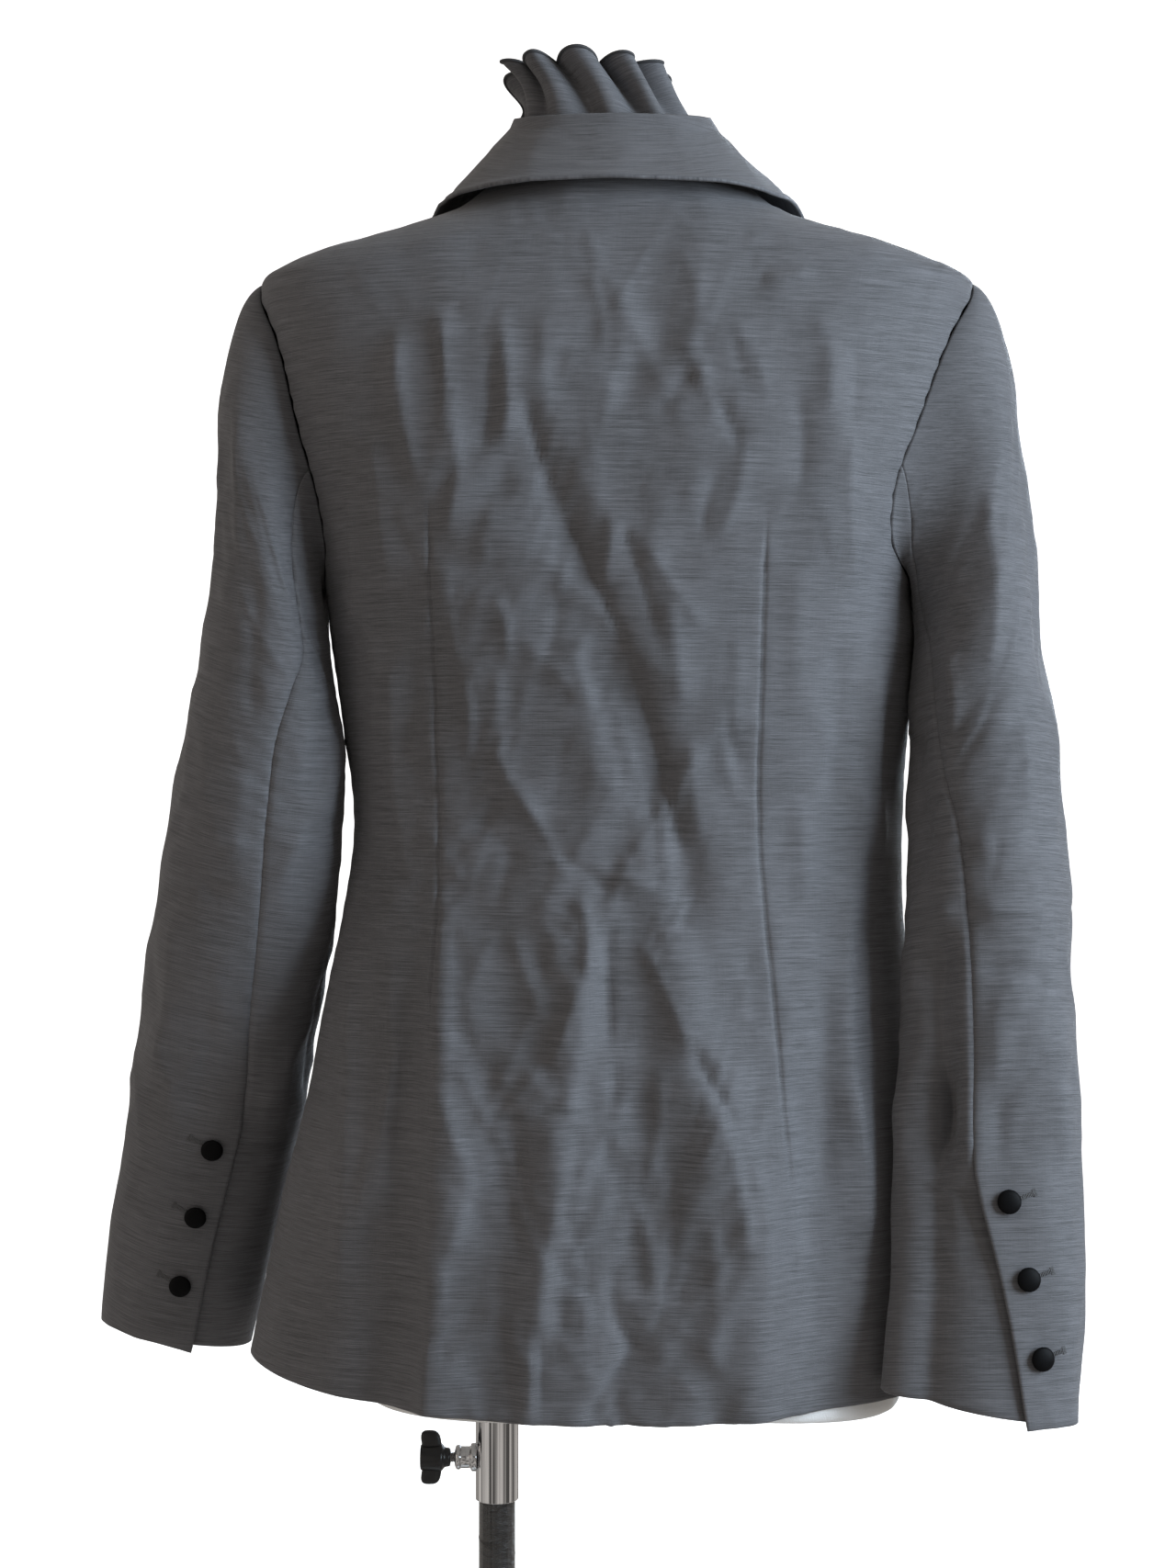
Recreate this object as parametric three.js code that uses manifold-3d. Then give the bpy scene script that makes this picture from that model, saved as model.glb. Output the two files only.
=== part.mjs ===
// Double-breasted blazer on a limbless dress form with a telescopic stand.
// Millimetres, +Z up. The garment faces -Y and its wearer's left is +X.
// The origin is the centre of the base's underside, on the pole's axis, on the floor.
// The garment and the form are described in their own frame, whose z = 0 is the back hem.
import * as THREE from 'three';
import { mergeVertices } from 'three/addons/utils/BufferGeometryUtils.js';
import Module from 'manifold-3d';

const wasm = await Module();
wasm.setup();

// ---- driving dimensions ----
const HEM_ABOVE_FLOOR = 600;
const POLE_OFF_CENTRE = 70;      // the pole stands this far to the wearer's left of the centre back
const WALL = 2;                  // cloth thickness
const SEAM_GAP = 0.35;           // clearance between neighbouring pieces
const ARMHOLE_GAP = 0.5;         // a sleeve is drawn in this far from its armhole's edge at the top
const UNDERARM_GAP = 1.3;        // and this far at the underarm
const LAID_GAP = 0.5;            // clearance under a layer that lies on another

const NECK_HEIGHT = 692;         // side neck point above the back hem
const HEM_RISE = 17;             // the hem is this much higher at the sides
const HEM_RISE_UP_TO = 180;
const ARMHOLE_MIDDLE = 546;
const ARMHOLE_HALF_HEIGHT = 89;
const ARMHOLE_STEPS = 10;        // rows of a panel beside its armhole

const FRONT_EDGE = 65;           // each front passes the centre by this much
const BREAK_HEIGHT = 340;        // the lapels start to roll here
const ROLL_TOP = 62.8;           // half the distance between the roll lines at the neck
const OVERLAP_LIFT = 3.2;        // the right front lies this far above the left one
const LAPEL_TIP_OUT = 120;
const LAPEL_TIP_HEIGHT = 600;
const GORGE_HEIGHT = 640;
const LAPEL_GAP = 0.8;
const LEFT_LAPEL_START = 466;    // below this the right front covers the left lapel

const RUFFLE_WAVES = 13;
const RUFFLE_WALL = 1.2;
const RUFFLE_LEAN = 24;          // the top of each flute leans this far to the wearer's left
const RUFFLE_STIFF = 22;         // and by this much less on that side
const RUFFLE_SLOPE = 0.15;       // the frill's top falls away to its sides
const RUFFLE_END = 0.975;        // its ends along the collar's half length
const RUFFLE_STEPS = 9;          // columns to a wave

const CUFF_BUTTON = { radius: 6.5, rim: 2.2, dome: 2.6 };
const FRONT_BUTTON = { radius: 10.5, rim: 2.6, dome: 1.4 };
const BUTTON_SIDES = 10;
const BUTTON_BACK = 0.86;        // a button's flat back as a share of its width
const FRONT_BUTTON_OUT = 46;
const FRONT_BUTTON_HEIGHTS = [318, 214, 110];

const BASE = { radius: 165, thickness: 8, edge: 3 };
const HUB = { radius: 24, top: 15, height: 42 };
const POLE = { radius: 10.8, top: 160 };
const TUBE = { outer: 12.5, inner: 11.25, bottom: -73, top: 307 };
const CLAMP = { height: -49, bossRadius: 8, bossLength: 12, screwRadius: 3 };
const KNOB = { hubRadius: 8, hubLength: 13, screwShows: 7, wingHeight: 31, wingThick: 6 };
const ROUND_SIDES = 24;
const FIT_GAP = 0.3;             // clearance between the stand's pieces

// ---- tables: one row for each section or fold ----
function table(columns, ...rows) {
  return rows.map((row) => Object.fromEntries(columns.map((name, i) => [name, row[i]])));
}

// Half width and depths of the cloth's outer surface at each height.
const TORSO = table(['height', 'width', 'back', 'front', 'shift', 'square'],
  [0, 212, 117, 128, 0, 0.03],
  [104, 194, 116, 120, 0, 0.03],
  [157, 181, 108, 113, -1, 0.03],
  [200, 173, 100, 107, -1, 0.03],
  [264, 163, 90, 101, -3, 0.03],
  [318, 159, 86, 99, -6, 0.03],
  [371, 163, 92, 106, -5, 0.04],
  [425, 169, 100, 117, -3, 0.05],
  [457, 169, 104, 122, 0, 0.07],
  [500, 178, 105, 119, 0, 0.09],
  [546, 192, 103, 109, 0, 0.1],
  [600, 203, 94, 92, 0, 0.09],
  [630, 206, 84, 78, 0, 0.08],
  [641, 190, 80, 73, 0, 0.07],
  [649, 167, 77, 69, 0, 0.06],
  [661, 126, 72, 61, 0, 0.05],
  [673, 96, 67, 53, 0, 0.03],
  [692, 71, 57, 42, 0, 0]);

// How far the armhole's edge is turned from the side seam, from its top (0) to its bottom (180).
const ARMHOLE = table(['around', 'leftBack', 'rightBack', 'front'],
  [0, 0, 0, 0],
  [30, 13, 18, 13],
  [60, 25, 31, 23],
  [90, 28, 37, 27],
  [120, 26, 38, 25],
  [150, 19, 29, 17],
  [180, 0, 0, 0]);

// The sleeves' outer and inner lines, centre depth and half depth at each height, and where the
// back seam lies around the arm, in degrees from the outer line.
const SLEEVE_LEFT = table(['height', 'outer', 'inner', 'depth', 'half', 'seam'],
  [0, 313, 223, -62, 34, 106],
  [72, 306, 206, -54, 36, 110],
  [157, 288, 186, -38, 39, 113],
  [200, 280, 177, -26, 40, 108],
  [243, 273, 169, -12, 42, 106],
  [286, 265, 163, 2, 43, 104],
  [329, 257, 159, 13, 45, 102],
  [371, 248, 158, 19, 46, 103],
  [414, 241, 164, 21, 48, 112],
  [457, 233, 170, 19, 51, 125],
  [500, 228, 174, 14, 54, 121],
  [543, 226, 174, 9, 56, 116],
  [585, 225, 174, 4, 55, 111],
  [612, 226, 174, 1, 53, 109],
  [635, 222, 174, 0, 52, 108]);
const SLEEVE_RIGHT = table(['height', 'outer', 'inner', 'depth', 'half', 'seam'],
  [0, 246, 139, 106, 25, 66],
  [72, 252, 146, 98, 26, 88],
  [130, 253, 149, 86, 29, 103],
  [190, 252, 156, 72, 34, 106],
  [243, 251, 160, 62, 38, 109],
  [286, 249, 163, 56, 41, 113],
  [329, 246, 163, 50, 43, 118],
  [371, 244, 166, 44, 45, 128],
  [414, 239, 166, 37, 48, 137],
  [457, 237, 167, 26, 52, 140],
  [500, 234, 171, 16, 54, 136],
  [543, 229, 172, 9, 56, 126],
  [585, 226, 172, 6, 56, 114],
  [612, 226, 172, 4, 54, 110],
  [635, 222, 172, 3, 52, 108]);
const SLEEVES = {
  left: { side: 1, rows: SLEEVE_LEFT, cuffOuter: 20, cuffInner: 5, back: 'leftBack' },
  right: { side: -1, rows: SLEEVE_RIGHT, cuffOuter: 1, cuffInner: 17, back: 'rightBack' },
};
const VENT_LENGTH = 125;         // of which the last part above the lap eases the layers apart
const VENT_EASE = 22;
const VENT_LAP = 20;             // the under sleeve passes this far below the vent's edge
const BODY_CLEARANCE = 3.5;      // between a hanging sleeve and the body
const VENT_BAND = 34;            // width of the raised strip along the vent's edge
const VENT_LIFT = 2.7;
const UPPER_COLUMNS = 12;
const UNDER_COLUMNS = 8;
const SEAM_AT_ARMHOLE = 108;
const SLEEVE_TOP = 632;          // the outer line's height where the sleeve leaves the shoulder
const ARM_GIRTH_TURN = 360 / 260; // degrees around the arm to a millimetre, near enough
// The rows of a sleeve as shares of its outer line, closest at the head and at the vent's top.
const SLEEVE_SHARES = [
  0, 0.012, 0.035, 0.07, 0.12, 0.19, 0.27, 0.36, 0.45, 0.54, 0.63, 0.74, 0.785, 0.815, 0.91, 1];
const SLEEVE_ROWS = SLEEVE_SHARES.length - 1;
const UNDERARM_HEIGHT = ARMHOLE_MIDDLE - ARMHOLE_HALF_HEIGHT;
const HEAD_FREE = 0.1;           // share of the outer line by which a ring is clear of the armhole
const CUFF_BUTTONS = { first: 118, pitch: 42, fromEdge: 11 };

// Half of the collar, from the centre back (0) to its front end (1).
const COLLAR_NAMES = [
  'along', 'seamX', 'seamY', 'seamZ', 'foldX', 'foldY', 'foldZ', 'edgeX', 'edgeY', 'edgeZ'];
const COLLAR = table(COLLAR_NAMES,
  [0, 0, 57, 693.3, 0, 48, 719, 0, 79, 677],
  [0.19, 38, 48, 693.3, 29, 41, 720, 53, 68, 676],
  [0.37, 62, 27, 693.3, 48, 23, 724, 88, 39, 676],
  [0.54, 70.5, 0, 693.3, 54, 0, 728, 101, 0, 680],
  [0.7, 69, -24, 690, 56, -27, 716, 113, -28, 668],
  [0.85, 64, -44, 676, 56, -52, 690, 117, -50, 652],
  [1, 56, -60, 658, 52, -70, 662, 108, -66, 637]);
const COLLAR_COLUMNS = 13;       // to each side of the centre back
const COLLAR_ROWS = 7;
const COLLAR_BOW = -2;           // the fall is a little hollow between its fold and its edge
const COLLAR_SHIFT = 3;          // the fold sits this far to the wearer's left

// The largest folds of each panel: a curve from its start past its bend to its end, its half width,
// and how far it stands out (or sinks in, where the height is negative).
const FOLD_COLUMNS = ['startX', 'startZ', 'bendX', 'bendZ', 'endX', 'endZ', 'width', 'height'];
const BACK_FOLDS = table(FOLD_COLUMNS,
  [50, 530, 14, 440, -36, 296, 13, -5],
  [-2, 520, -22, 400, -60, 300, 16, 3],
  [96, 277, 92, 150, 103, -20, 15, 6],
  [126, 240, 122, 120, 134, -20, 14, -5],
  [14, 285, 22, 190, 44, 60, 14, 6],
  [-8, 250, -22, 150, 4, -20, 14, -5],
  [-18, 290, -40, 220, -46, 150, 13, 5],
  [-40, 190, -76, 130, -72, -20, 16, 6],
  [-104, 230, -112, 110, -118, -20, 15, -5],
  [62, 200, 66, 90, 70, -20, 15, -4],
  [-120, 600, -126, 550, -112, 500, 16, 4]);
const FRONT_FOLDS = table(FOLD_COLUMNS,
  [-150, 440, -126, 300, -132, -20, 16, 4],
  [148, 440, 124, 310, 130, -20, 16, 4],
  [-104, 240, -98, 120, -104, -20, 14, -4],
  [102, 250, 98, 130, 106, -20, 14, -4]);

// ---- small helpers ----
const radians = THREE.MathUtils.degToRad;
const lerp = THREE.MathUtils.lerp;
const clamp = THREE.MathUtils.clamp;
const smooth = THREE.MathUtils.smoothstep;
const point = (x, y, z) => new THREE.Vector3(x, y, z);

// A table's column at any value of its key, as a smooth curve through the rows.
function read(rows, column, value, key = 'height') {
  const last = rows.length - 1;
  const at = clamp(value, rows[0][key], rows[last][key]);
  let i = 0;
  while (i < last - 1 && rows[i + 1][key] < at) {
    i += 1;
  }
  const slope = (j) => {
    const a = rows[Math.max(j - 1, 0)];
    const b = rows[Math.min(j + 1, last)];
    return (b[column] - a[column]) / (b[key] - a[key]);
  };
  const span = rows[i + 1][key] - rows[i][key];
  const t = (at - rows[i][key]) / span;
  const start = rows[i][column];
  const end = rows[i + 1][column];
  const rise = t * t * (3 - 2 * t);
  const bow = t * (1 - t) * span;
  return lerp(start, end, rise) + bow * ((1 - t) * slope(i) - t * slope(i + 1));
}

// A point on an oval, turned from the centre back towards the wearer's left.
function ovalPoint({ width, back, front, shift, square, height }, turn) {
  const a = radians(turn);
  const swell = 1 + square * Math.sin(2 * a) ** 2;
  const depth = Math.cos(a) > 0 ? back : front;
  return point(shift + width * Math.sin(a) * swell, depth * Math.cos(a) * swell, height);
}

// A point on the outside of the cloth's torso.
function bareTorso(turn, height) {
  const oval = { height };
  for (const column of ['width', 'back', 'front', 'shift', 'square']) {
    oval[column] = read(TORSO, column, height);
  }
  return ovalPoint(oval, turn);
}

function torsoNormal(turn, height) {
  const low = Math.max(height - 3, 0);
  const high = Math.min(height + 3, NECK_HEIGHT);
  const along = bareTorso(turn + 1, height).sub(bareTorso(turn - 1, height));
  const up = bareTorso(turn, high).sub(bareTorso(turn, low));
  return up.cross(along).normalize();
}

function torsoPoint(turn, height, lift) {
  return bareTorso(turn, height).addScaledVector(torsoNormal(turn, height), lift);
}

// How far the folds raise the cloth at (x, z).
function foldLift(folds, x, z) {
  let lift = 0;
  for (const fold of folds) {
    let nearest = Infinity;
    let along = 0;
    for (let i = 0; i <= 12; i += 1) {
      const t = i / 12;
      const u = 1 - t;
      const fx = u * u * fold.startX + 2 * u * t * fold.bendX + t * t * fold.endX;
      const fz = u * u * fold.startZ + 2 * u * t * fold.bendZ + t * t * fold.endZ;
      const distance = (x - fx) ** 2 + 0.15 * (z - fz) ** 2;
      if (distance < nearest) {
        nearest = distance;
        along = t;
      }
    }
    lift += fold.height * Math.exp(-nearest / fold.width ** 2) * smooth(along, 0, 0.3);
  }
  return lift;
}

// A point on a body panel, with its folds and the rise of the hem.
function panelPoint(folds, turn, height, lift) {
  const bare = bareTorso(turn, height);
  const sideFade = smooth(Math.abs(90 - Math.abs(turn)), 4, 24);
  const raised = lift + foldLift(folds, bare.x, height) * sideFade;
  const p = torsoPoint(turn, height, raised);
  const hem = clamp(1 - height / HEM_RISE_UP_TO, 0, 1) ** 2;
  p.z += HEM_RISE * Math.sin(radians(turn)) ** 2 * hem;
  return p;
}

// The turn at which the front of the torso passes x, at a height.
function frontTurn(x, height) {
  let low = 90;
  let high = 270;
  for (let i = 0; i < 30; i += 1) {
    const middle = (low + high) / 2;
    if (bareTorso(middle, height).x > x) {
      low = middle;
    } else {
      high = middle;
    }
  }
  return (low + high) / 2;
}

// A point moved out until it is at least gapAt(turn, height) off the torso's surface.
function clearOfTorso(p, gapAt) {
  if (p.z > NECK_HEIGHT) {
    return p;
  }
  const x = (p.x - read(TORSO, 'shift', p.z)) / read(TORSO, 'width', p.z);
  const y = p.y / read(TORSO, p.y > 0 ? 'back' : 'front', p.z);
  const turn = THREE.MathUtils.radToDeg(Math.atan2(x, y));
  const normal = torsoNormal(turn, p.z);
  const off = p.clone().sub(bareTorso(turn, p.z)).dot(normal);
  return p.clone().addScaledVector(normal, Math.max(gapAt(turn, p.z) - off, 0));
}

function signedVolume(points, faces) {
  let volume = 0;
  for (const [a, b, c] of faces) {
    volume += points[a].dot(points[b].clone().cross(points[c]));
  }
  return volume / 6;
}

function geometryOf(points, faces) {
  const turned = signedVolume(points, faces) < 0;
  const order = turned ? faces.map(([a, b, c]) => [a, c, b]) : faces;
  const geometry = new THREE.BufferGeometry();
  geometry.setAttribute('position', new THREE.Float32BufferAttribute(points.flatMap((p) => p.toArray()), 3));
  geometry.setIndex(order.flat());
  return geometry;
}

// A closed wall: an outer and an inner grid of points, joined along their four edges.
function wall(rows, columns, outer, inner) {
  const points = [];
  const faces = [];
  for (const layer of [outer, inner]) {
    for (let r = 0; r <= rows; r += 1) {
      for (let c = 0; c <= columns; c += 1) {
        points.push(layer(r, c));
      }
    }
  }
  const across = columns + 1;
  const under = (rows + 1) * across;
  const quad = (a, b, c, d) => faces.push([a, b, c], [a, c, d]);
  for (let r = 0; r < rows; r += 1) {
    for (let c = 0; c < columns; c += 1) {
      const a = r * across + c;
      quad(a, a + 1, a + across + 1, a + across);
      quad(under + a, under + a + across, under + a + across + 1, under + a + 1);
    }
  }
  for (let c = 0; c < columns; c += 1) {
    const top = rows * across + c;
    quad(c, under + c, under + c + 1, c + 1);
    quad(top, top + 1, under + top + 1, under + top);
  }
  for (let r = 0; r < rows; r += 1) {
    const a = r * across;
    const b = a + columns;
    quad(a, a + across, under + a + across, under + a);
    quad(b, under + b, under + b + across, b + across);
  }
  return geometryOf(points, faces);
}

// Points of a second layer at a depth below a grid of points, square to the grid's surface.
function layerBelow(rows, columns, grid, depth) {
  return (r, c) => {
    const along = grid(r, Math.min(c + 1, columns)).clone().sub(grid(r, Math.max(c - 1, 0)));
    const up = grid(Math.min(r + 1, rows), c).clone().sub(grid(Math.max(r - 1, 0), c));
    return grid(r, c).clone().addScaledVector(along.cross(up).normalize(), -depth);
  };
}

function gridOf(rows, columns, at) {
  const kept = [];
  for (let r = 0; r <= rows; r += 1) {
    kept.push([]);
    for (let c = 0; c <= columns; c += 1) {
      kept[r].push(at(r, c));
    }
  }
  return (r, c) => kept[r][c].clone();
}

function solidOf(geometry) {
  const bare = geometry.clone();
  bare.deleteAttribute('normal');
  bare.deleteAttribute('uv');
  const merged = mergeVertices(bare, 1e-3);
  return new wasm.Manifold(new wasm.Mesh({
    numProp: 3,
    vertProperties: new Float32Array(merged.attributes.position.array),
    triVerts: new Uint32Array(merged.index.array),
  }));
}

function geometryFrom(solid) {
  const mesh = solid.getMesh();
  const geometry = new THREE.BufferGeometry();
  geometry.setAttribute('position', new THREE.BufferAttribute(mesh.vertProperties, 3));
  geometry.setIndex(new THREE.BufferAttribute(mesh.triVerts, 1));
  return geometry;
}

// An upright cylinder on the Z axis.
function upright(radius, bottom, top) {
  return new THREE.CylinderGeometry(radius, radius, top - bottom, ROUND_SIDES)
    .rotateX(Math.PI / 2)
    .translate(0, 0, (top + bottom) / 2);
}

function lathe(profile, sides = ROUND_SIDES) {
  const outline = profile.map(([r, z]) => new THREE.Vector2(r, z));
  return new THREE.LatheGeometry(outline, sides).rotateX(Math.PI / 2);
}

// ---- materials ----
const material = (colour, roughness, metalness = 0) =>
  new THREE.MeshStandardMaterial({ color: colour, roughness, metalness, flatShading: true });
const suiting = material(0x83878f, 0.9);
const blackHorn = material(0x121316, 0.35);
const formSkin = material(0xe9e8e4, 0.6);
const chrome = material(0xc9ccd0, 0.15, 1);
const blackPlastic = material(0x141414, 0.45);
const wrappedPole = material(0x2b2a2b, 0.4, 0.3);

const product = new THREE.Group();
const dressed = new THREE.Group();
dressed.position.set(-POLE_OFF_CENTRE, 0, HEM_ABOVE_FLOOR);
product.add(dressed);

function addPiece(group, name, geometry, itsMaterial) {
  const mesh = new THREE.Mesh(geometry, itsMaterial.clone());
  mesh.name = name;
  group.add(mesh);
  return mesh;
}

// ---- the body panels ----
// The rows' heights: even to the underarm, then beside the armhole, then over the shoulder.
const PANEL_HEIGHTS = [];
const ROWS_BELOW = 11;
for (let r = 0; r < ROWS_BELOW; r += 1) {
  PANEL_HEIGHTS.push(UNDERARM_HEIGHT * r / ROWS_BELOW);
}
for (let r = ARMHOLE_STEPS; r >= 0; r -= 1) {
  PANEL_HEIGHTS.push(ARMHOLE_MIDDLE + ARMHOLE_HALF_HEIGHT * Math.cos(Math.PI * r / ARMHOLE_STEPS));
}
PANEL_HEIGHTS.push(647, 659, 670, 681, NECK_HEIGHT);
const PANEL_ROWS = PANEL_HEIGHTS.length - 1;

// How far an armhole's edge is turned from the side seam at a height.
function armholeTurn(column, height) {
  const cosine = (height - ARMHOLE_MIDDLE) / ARMHOLE_HALF_HEIGHT;
  if (Math.abs(cosine) >= 1) {
    return 0;
  }
  return read(ARMHOLE, column, THREE.MathUtils.radToDeg(Math.acos(cosine)), 'around');
}

// Half the seam's gap as an angle, so that two panels meet with the gap between them.
function seamTurn(height) {
  return THREE.MathUtils.radToDeg(SEAM_GAP / 2 / read(TORSO, 'back', height));
}

function backPiece() {
  const columns = 26;
  const turnAt = (r, c) => {
    const height = PANEL_HEIGHTS[r];
    const right = -90 + armholeTurn('rightBack', height) + seamTurn(height);
    const left = 90 - armholeTurn('leftBack', height) - seamTurn(height);
    return lerp(right, left, c / columns);
  };
  const at = (lift) => (r, c) => panelPoint(BACK_FOLDS, turnAt(r, c), PANEL_HEIGHTS[r], lift);
  return wall(PANEL_ROWS, columns, at(0), at(-WALL));
}

// The roll line's distance from the centre, on the wearer's side of the front.
function rollLine(height) {
  const t = clamp((height - BREAK_HEIGHT) / (NECK_HEIGHT - BREAK_HEIGHT), 0, 1);
  return lerp(-FRONT_EDGE, ROLL_TOP, t);
}

// The right front rises over the left one where they overlap.
function frontLift(side, x, height) {
  if (side > 0) {
    return 0;
  }
  return OVERLAP_LIFT * smooth(x, -126, -86) * (1 - smooth(height, 540, 600));
}

function frontPoint(side, x, height, lift) {
  const turn = frontTurn(x, height);
  return panelPoint(FRONT_FOLDS, turn, height, lift + frontLift(side, x, height));
}

function frontPiece(side) {
  const columns = 12;
  const at = (lift) => (r, c) => {
    const height = PANEL_HEIGHTS[r];
    const start = 90 + armholeTurn('front', height) + seamTurn(height);
    const edge = frontTurn(side * rollLine(height), height);
    const turn = side > 0 ? lerp(start, edge, c / columns) : lerp(360 - start, edge, c / columns);
    const x = bareTorso(turn, height).x;
    return panelPoint(FRONT_FOLDS, turn, height, lift + frontLift(side, x, height));
  };
  return wall(PANEL_ROWS, columns, at(0), at(-WALL));
}

function lapelPiece(side) {
  const rows = 12;
  const columns = 5;
  const start = side > 0 ? LEFT_LAPEL_START : BREAK_HEIGHT + 8;
  const at = (lift) => (r, c) => {
    const t = r / rows;
    const rollHeight = lerp(start, GORGE_HEIGHT, t);
    const edgeHeight = lerp(start, LAPEL_TIP_HEIGHT, t);
    const share = (edgeHeight - BREAK_HEIGHT) / (LAPEL_TIP_HEIGHT - BREAK_HEIGHT);
    const edge = lerp(-FRONT_EDGE, LAPEL_TIP_OUT, share) + 8 * Math.sin(Math.PI * share);
    const covered = side > 0 ? 6 - rollLine(rollHeight) : -FRONT_EDGE;
    const roll = Math.max(rollLine(rollHeight) + 1, covered);
    const across = c / columns;
    const x = side * lerp(roll, Math.max(edge, roll + 3), across);
    const soft = 1.6 * Math.sin(Math.PI * Math.min(across * 2, 1)) * t;
    return frontPoint(side, x, lerp(rollHeight, edgeHeight, across), lift + soft);
  };
  return wall(rows, columns, at(LAPEL_GAP + WALL), at(LAPEL_GAP));
}

// ---- the collar and the ruffle ----
// A line that runs round the neck: along goes from -1 (right front end) to 1 (left front end).
function neckLine(line, along) {
  const part = Math.abs(along);
  const shift = line === 'fold' ? COLLAR_SHIFT : 0;
  const x = read(COLLAR, line + 'X', part, 'along') * Math.sign(along) + shift;
  return point(x, read(COLLAR, line + 'Y', part, 'along'), read(COLLAR, line + 'Z', part, 'along'));
}

function collarPiece() {
  const columns = 2 * COLLAR_COLUMNS;
  const grid = gridOf(COLLAR_ROWS, columns, (r, c) => {
    const along = c / COLLAR_COLUMNS - 1;
    const seam = neckLine('seam', along);
    const fold = neckLine('fold', along);
    const edge = neckLine('edge', along);
    const standRows = 3;
    if (r <= standRows) {
      const t = r / standRows;
      const bulge = 2.5 * Math.sin(Math.PI * t);
      const p = seam.clone().lerp(fold, t);
      p.z += bulge;
      return clearOfTorso(p, () => LAID_GAP + 2 * WALL);
    }
    const t = (r - standRows) / (COLLAR_ROWS - standRows);
    const p = fold.clone().lerp(edge, t);
    const bow = COLLAR_BOW * Math.sin(Math.PI * t);
    p.addScaledVector(point(p.x, p.y, 0).normalize(), bow);
    return clearOfTorso(p, () => LAID_GAP + 2 * WALL + 1);
  });
  const inner = layerBelow(COLLAR_ROWS, columns, grid, WALL);
  return wall(COLLAR_ROWS, columns, grid, inner);
}

// The frill stands inside the collar's stand. Its flutes grow from the neck seam upwards.
const RUFFLE_ROWS = table(['up', 'inset', 'above', 'wave', 'lean'],
  [0, 5.5, 0, 1.2, 0],
  [0.75, 7.5, 0, 2.6, 0.06],
  [1, 10, 18, 5.5, 0.42],
  [1, 7, 39, 9, 1]);

function rufflePiece() {
  const columns = RUFFLE_WAVES * RUFFLE_STEPS;
  const rows = RUFFLE_ROWS.length - 1;
  const grid = gridOf(rows, columns, (r, c) => {
    const row = RUFFLE_ROWS[r];
    const along = (2 * c / columns - 1) * RUFFLE_END;
    const fade = 1 - 0.65 * smooth(Math.abs(along), 0.5, RUFFLE_END);
    const p = neckLine('seam', along).lerp(neckLine('fold', along), row.up);
    const ahead = neckLine('fold', along + 0.01).sub(neckLine('fold', along - 0.01));
    const out = point(0, 0, 1).cross(ahead).normalize();
    const swing = Math.sin(c * 2 * Math.PI / RUFFLE_STEPS);
    p.addScaledVector(out, -row.inset + row.wave * swing * fade);
    p.z += row.above * fade * (1 - RUFFLE_SLOPE * ((p.x - 5) / 50) ** 2);
    p.x += row.lean * (RUFFLE_LEAN - RUFFLE_STIFF * smooth(p.x, 10, 54)) * fade;
    return clearOfTorso(p, () => LAID_GAP + RUFFLE_WALL);
  });
  const half = RUFFLE_WALL / 2;
  return wall(rows, columns, layerBelow(rows, columns, grid, half), layerBelow(rows, columns, grid, -half));
}

// ---- the sleeves ----
// The armhole's edge, drawn in by the seam's gap; around goes from its top over the back.
function armholePoint(sleeve, around) {
  const back = Math.sin(radians(around)) >= 0;
  const height = ARMHOLE_MIDDLE + ARMHOLE_HALF_HEIGHT * Math.cos(radians(around));
  const turn = armholeTurn(back ? sleeve.back : 'front', height);
  const p = bareTorso(sleeve.side * (back ? 90 - turn : 90 + turn), height);
  const middle = bareTorso(sleeve.side * 90, ARMHOLE_MIDDLE);
  const inward = point(0, middle.y - p.y, middle.z - p.z).normalize();
  const upwards = (1 + Math.cos(radians(around))) / 2;
  return p.addScaledVector(inward, lerp(UNDERARM_GAP, ARMHOLE_GAP, upwards));
}

// A point on a sleeve: share runs down the outer line, from 0 at the armhole to 1 at the cuff.
function sleevePoint(sleeve, share, around, lift) {
  const outerHeight = sleeveHeight(sleeve, share);
  const drop = (SLEEVE_TOP - UNDERARM_HEIGHT) * (1 - share) ** 2;
  const innerHeight = outerHeight - drop - (sleeve.cuffOuter - sleeve.cuffInner) * share ** 3;
  const outer = read(sleeve.rows, 'outer', outerHeight);
  const inner = read(sleeve.rows, 'inner', Math.min(innerHeight, UNDERARM_HEIGHT));
  const middleHeight = (outerHeight + innerHeight) / 2;
  const a = radians(around);
  const outwards = (1 + Math.cos(a)) / 2;
  const half = read(sleeve.rows, 'half', middleHeight);
  const ring = point(
    sleeve.side * lerp(inner, outer, outwards),
    read(sleeve.rows, 'depth', middleHeight) + half * Math.sin(a),
    lerp(innerHeight, outerHeight, outwards));
  ring.addScaledVector(point(sleeve.side * Math.cos(a), Math.sin(a), 0), lift);
  const free = HEAD_FREE * (1 - outwards / 2);
  const freed = smooth(share, -HEAD_FREE / 2, free);
  const start = smooth(0, -HEAD_FREE / 2, free);
  const p = armholePoint(sleeve, around).lerp(ring, (freed - start) / (1 - start));
  return clearOfTorso(p, (turn, height) => sleeveClearance(sleeve, turn, height));
}

// A sleeve stays off the panels, but may pass through the torso's surface inside its armhole.
function sleeveClearance(sleeve, turn, height) {
  if (height > UNDERARM_HEIGHT + 45) {
    return -Infinity;
  }
  const fromSide = Math.abs(90 - Math.abs(turn));
  const edge = armholeTurn(Math.abs(turn) < 90 ? sleeve.back : 'front', height);
  const past = fromSide - edge + Math.max(UNDERARM_HEIGHT - height, 0) / 2;
  return past > 0.5 ? BODY_CLEARANCE : -Infinity;
}

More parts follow.
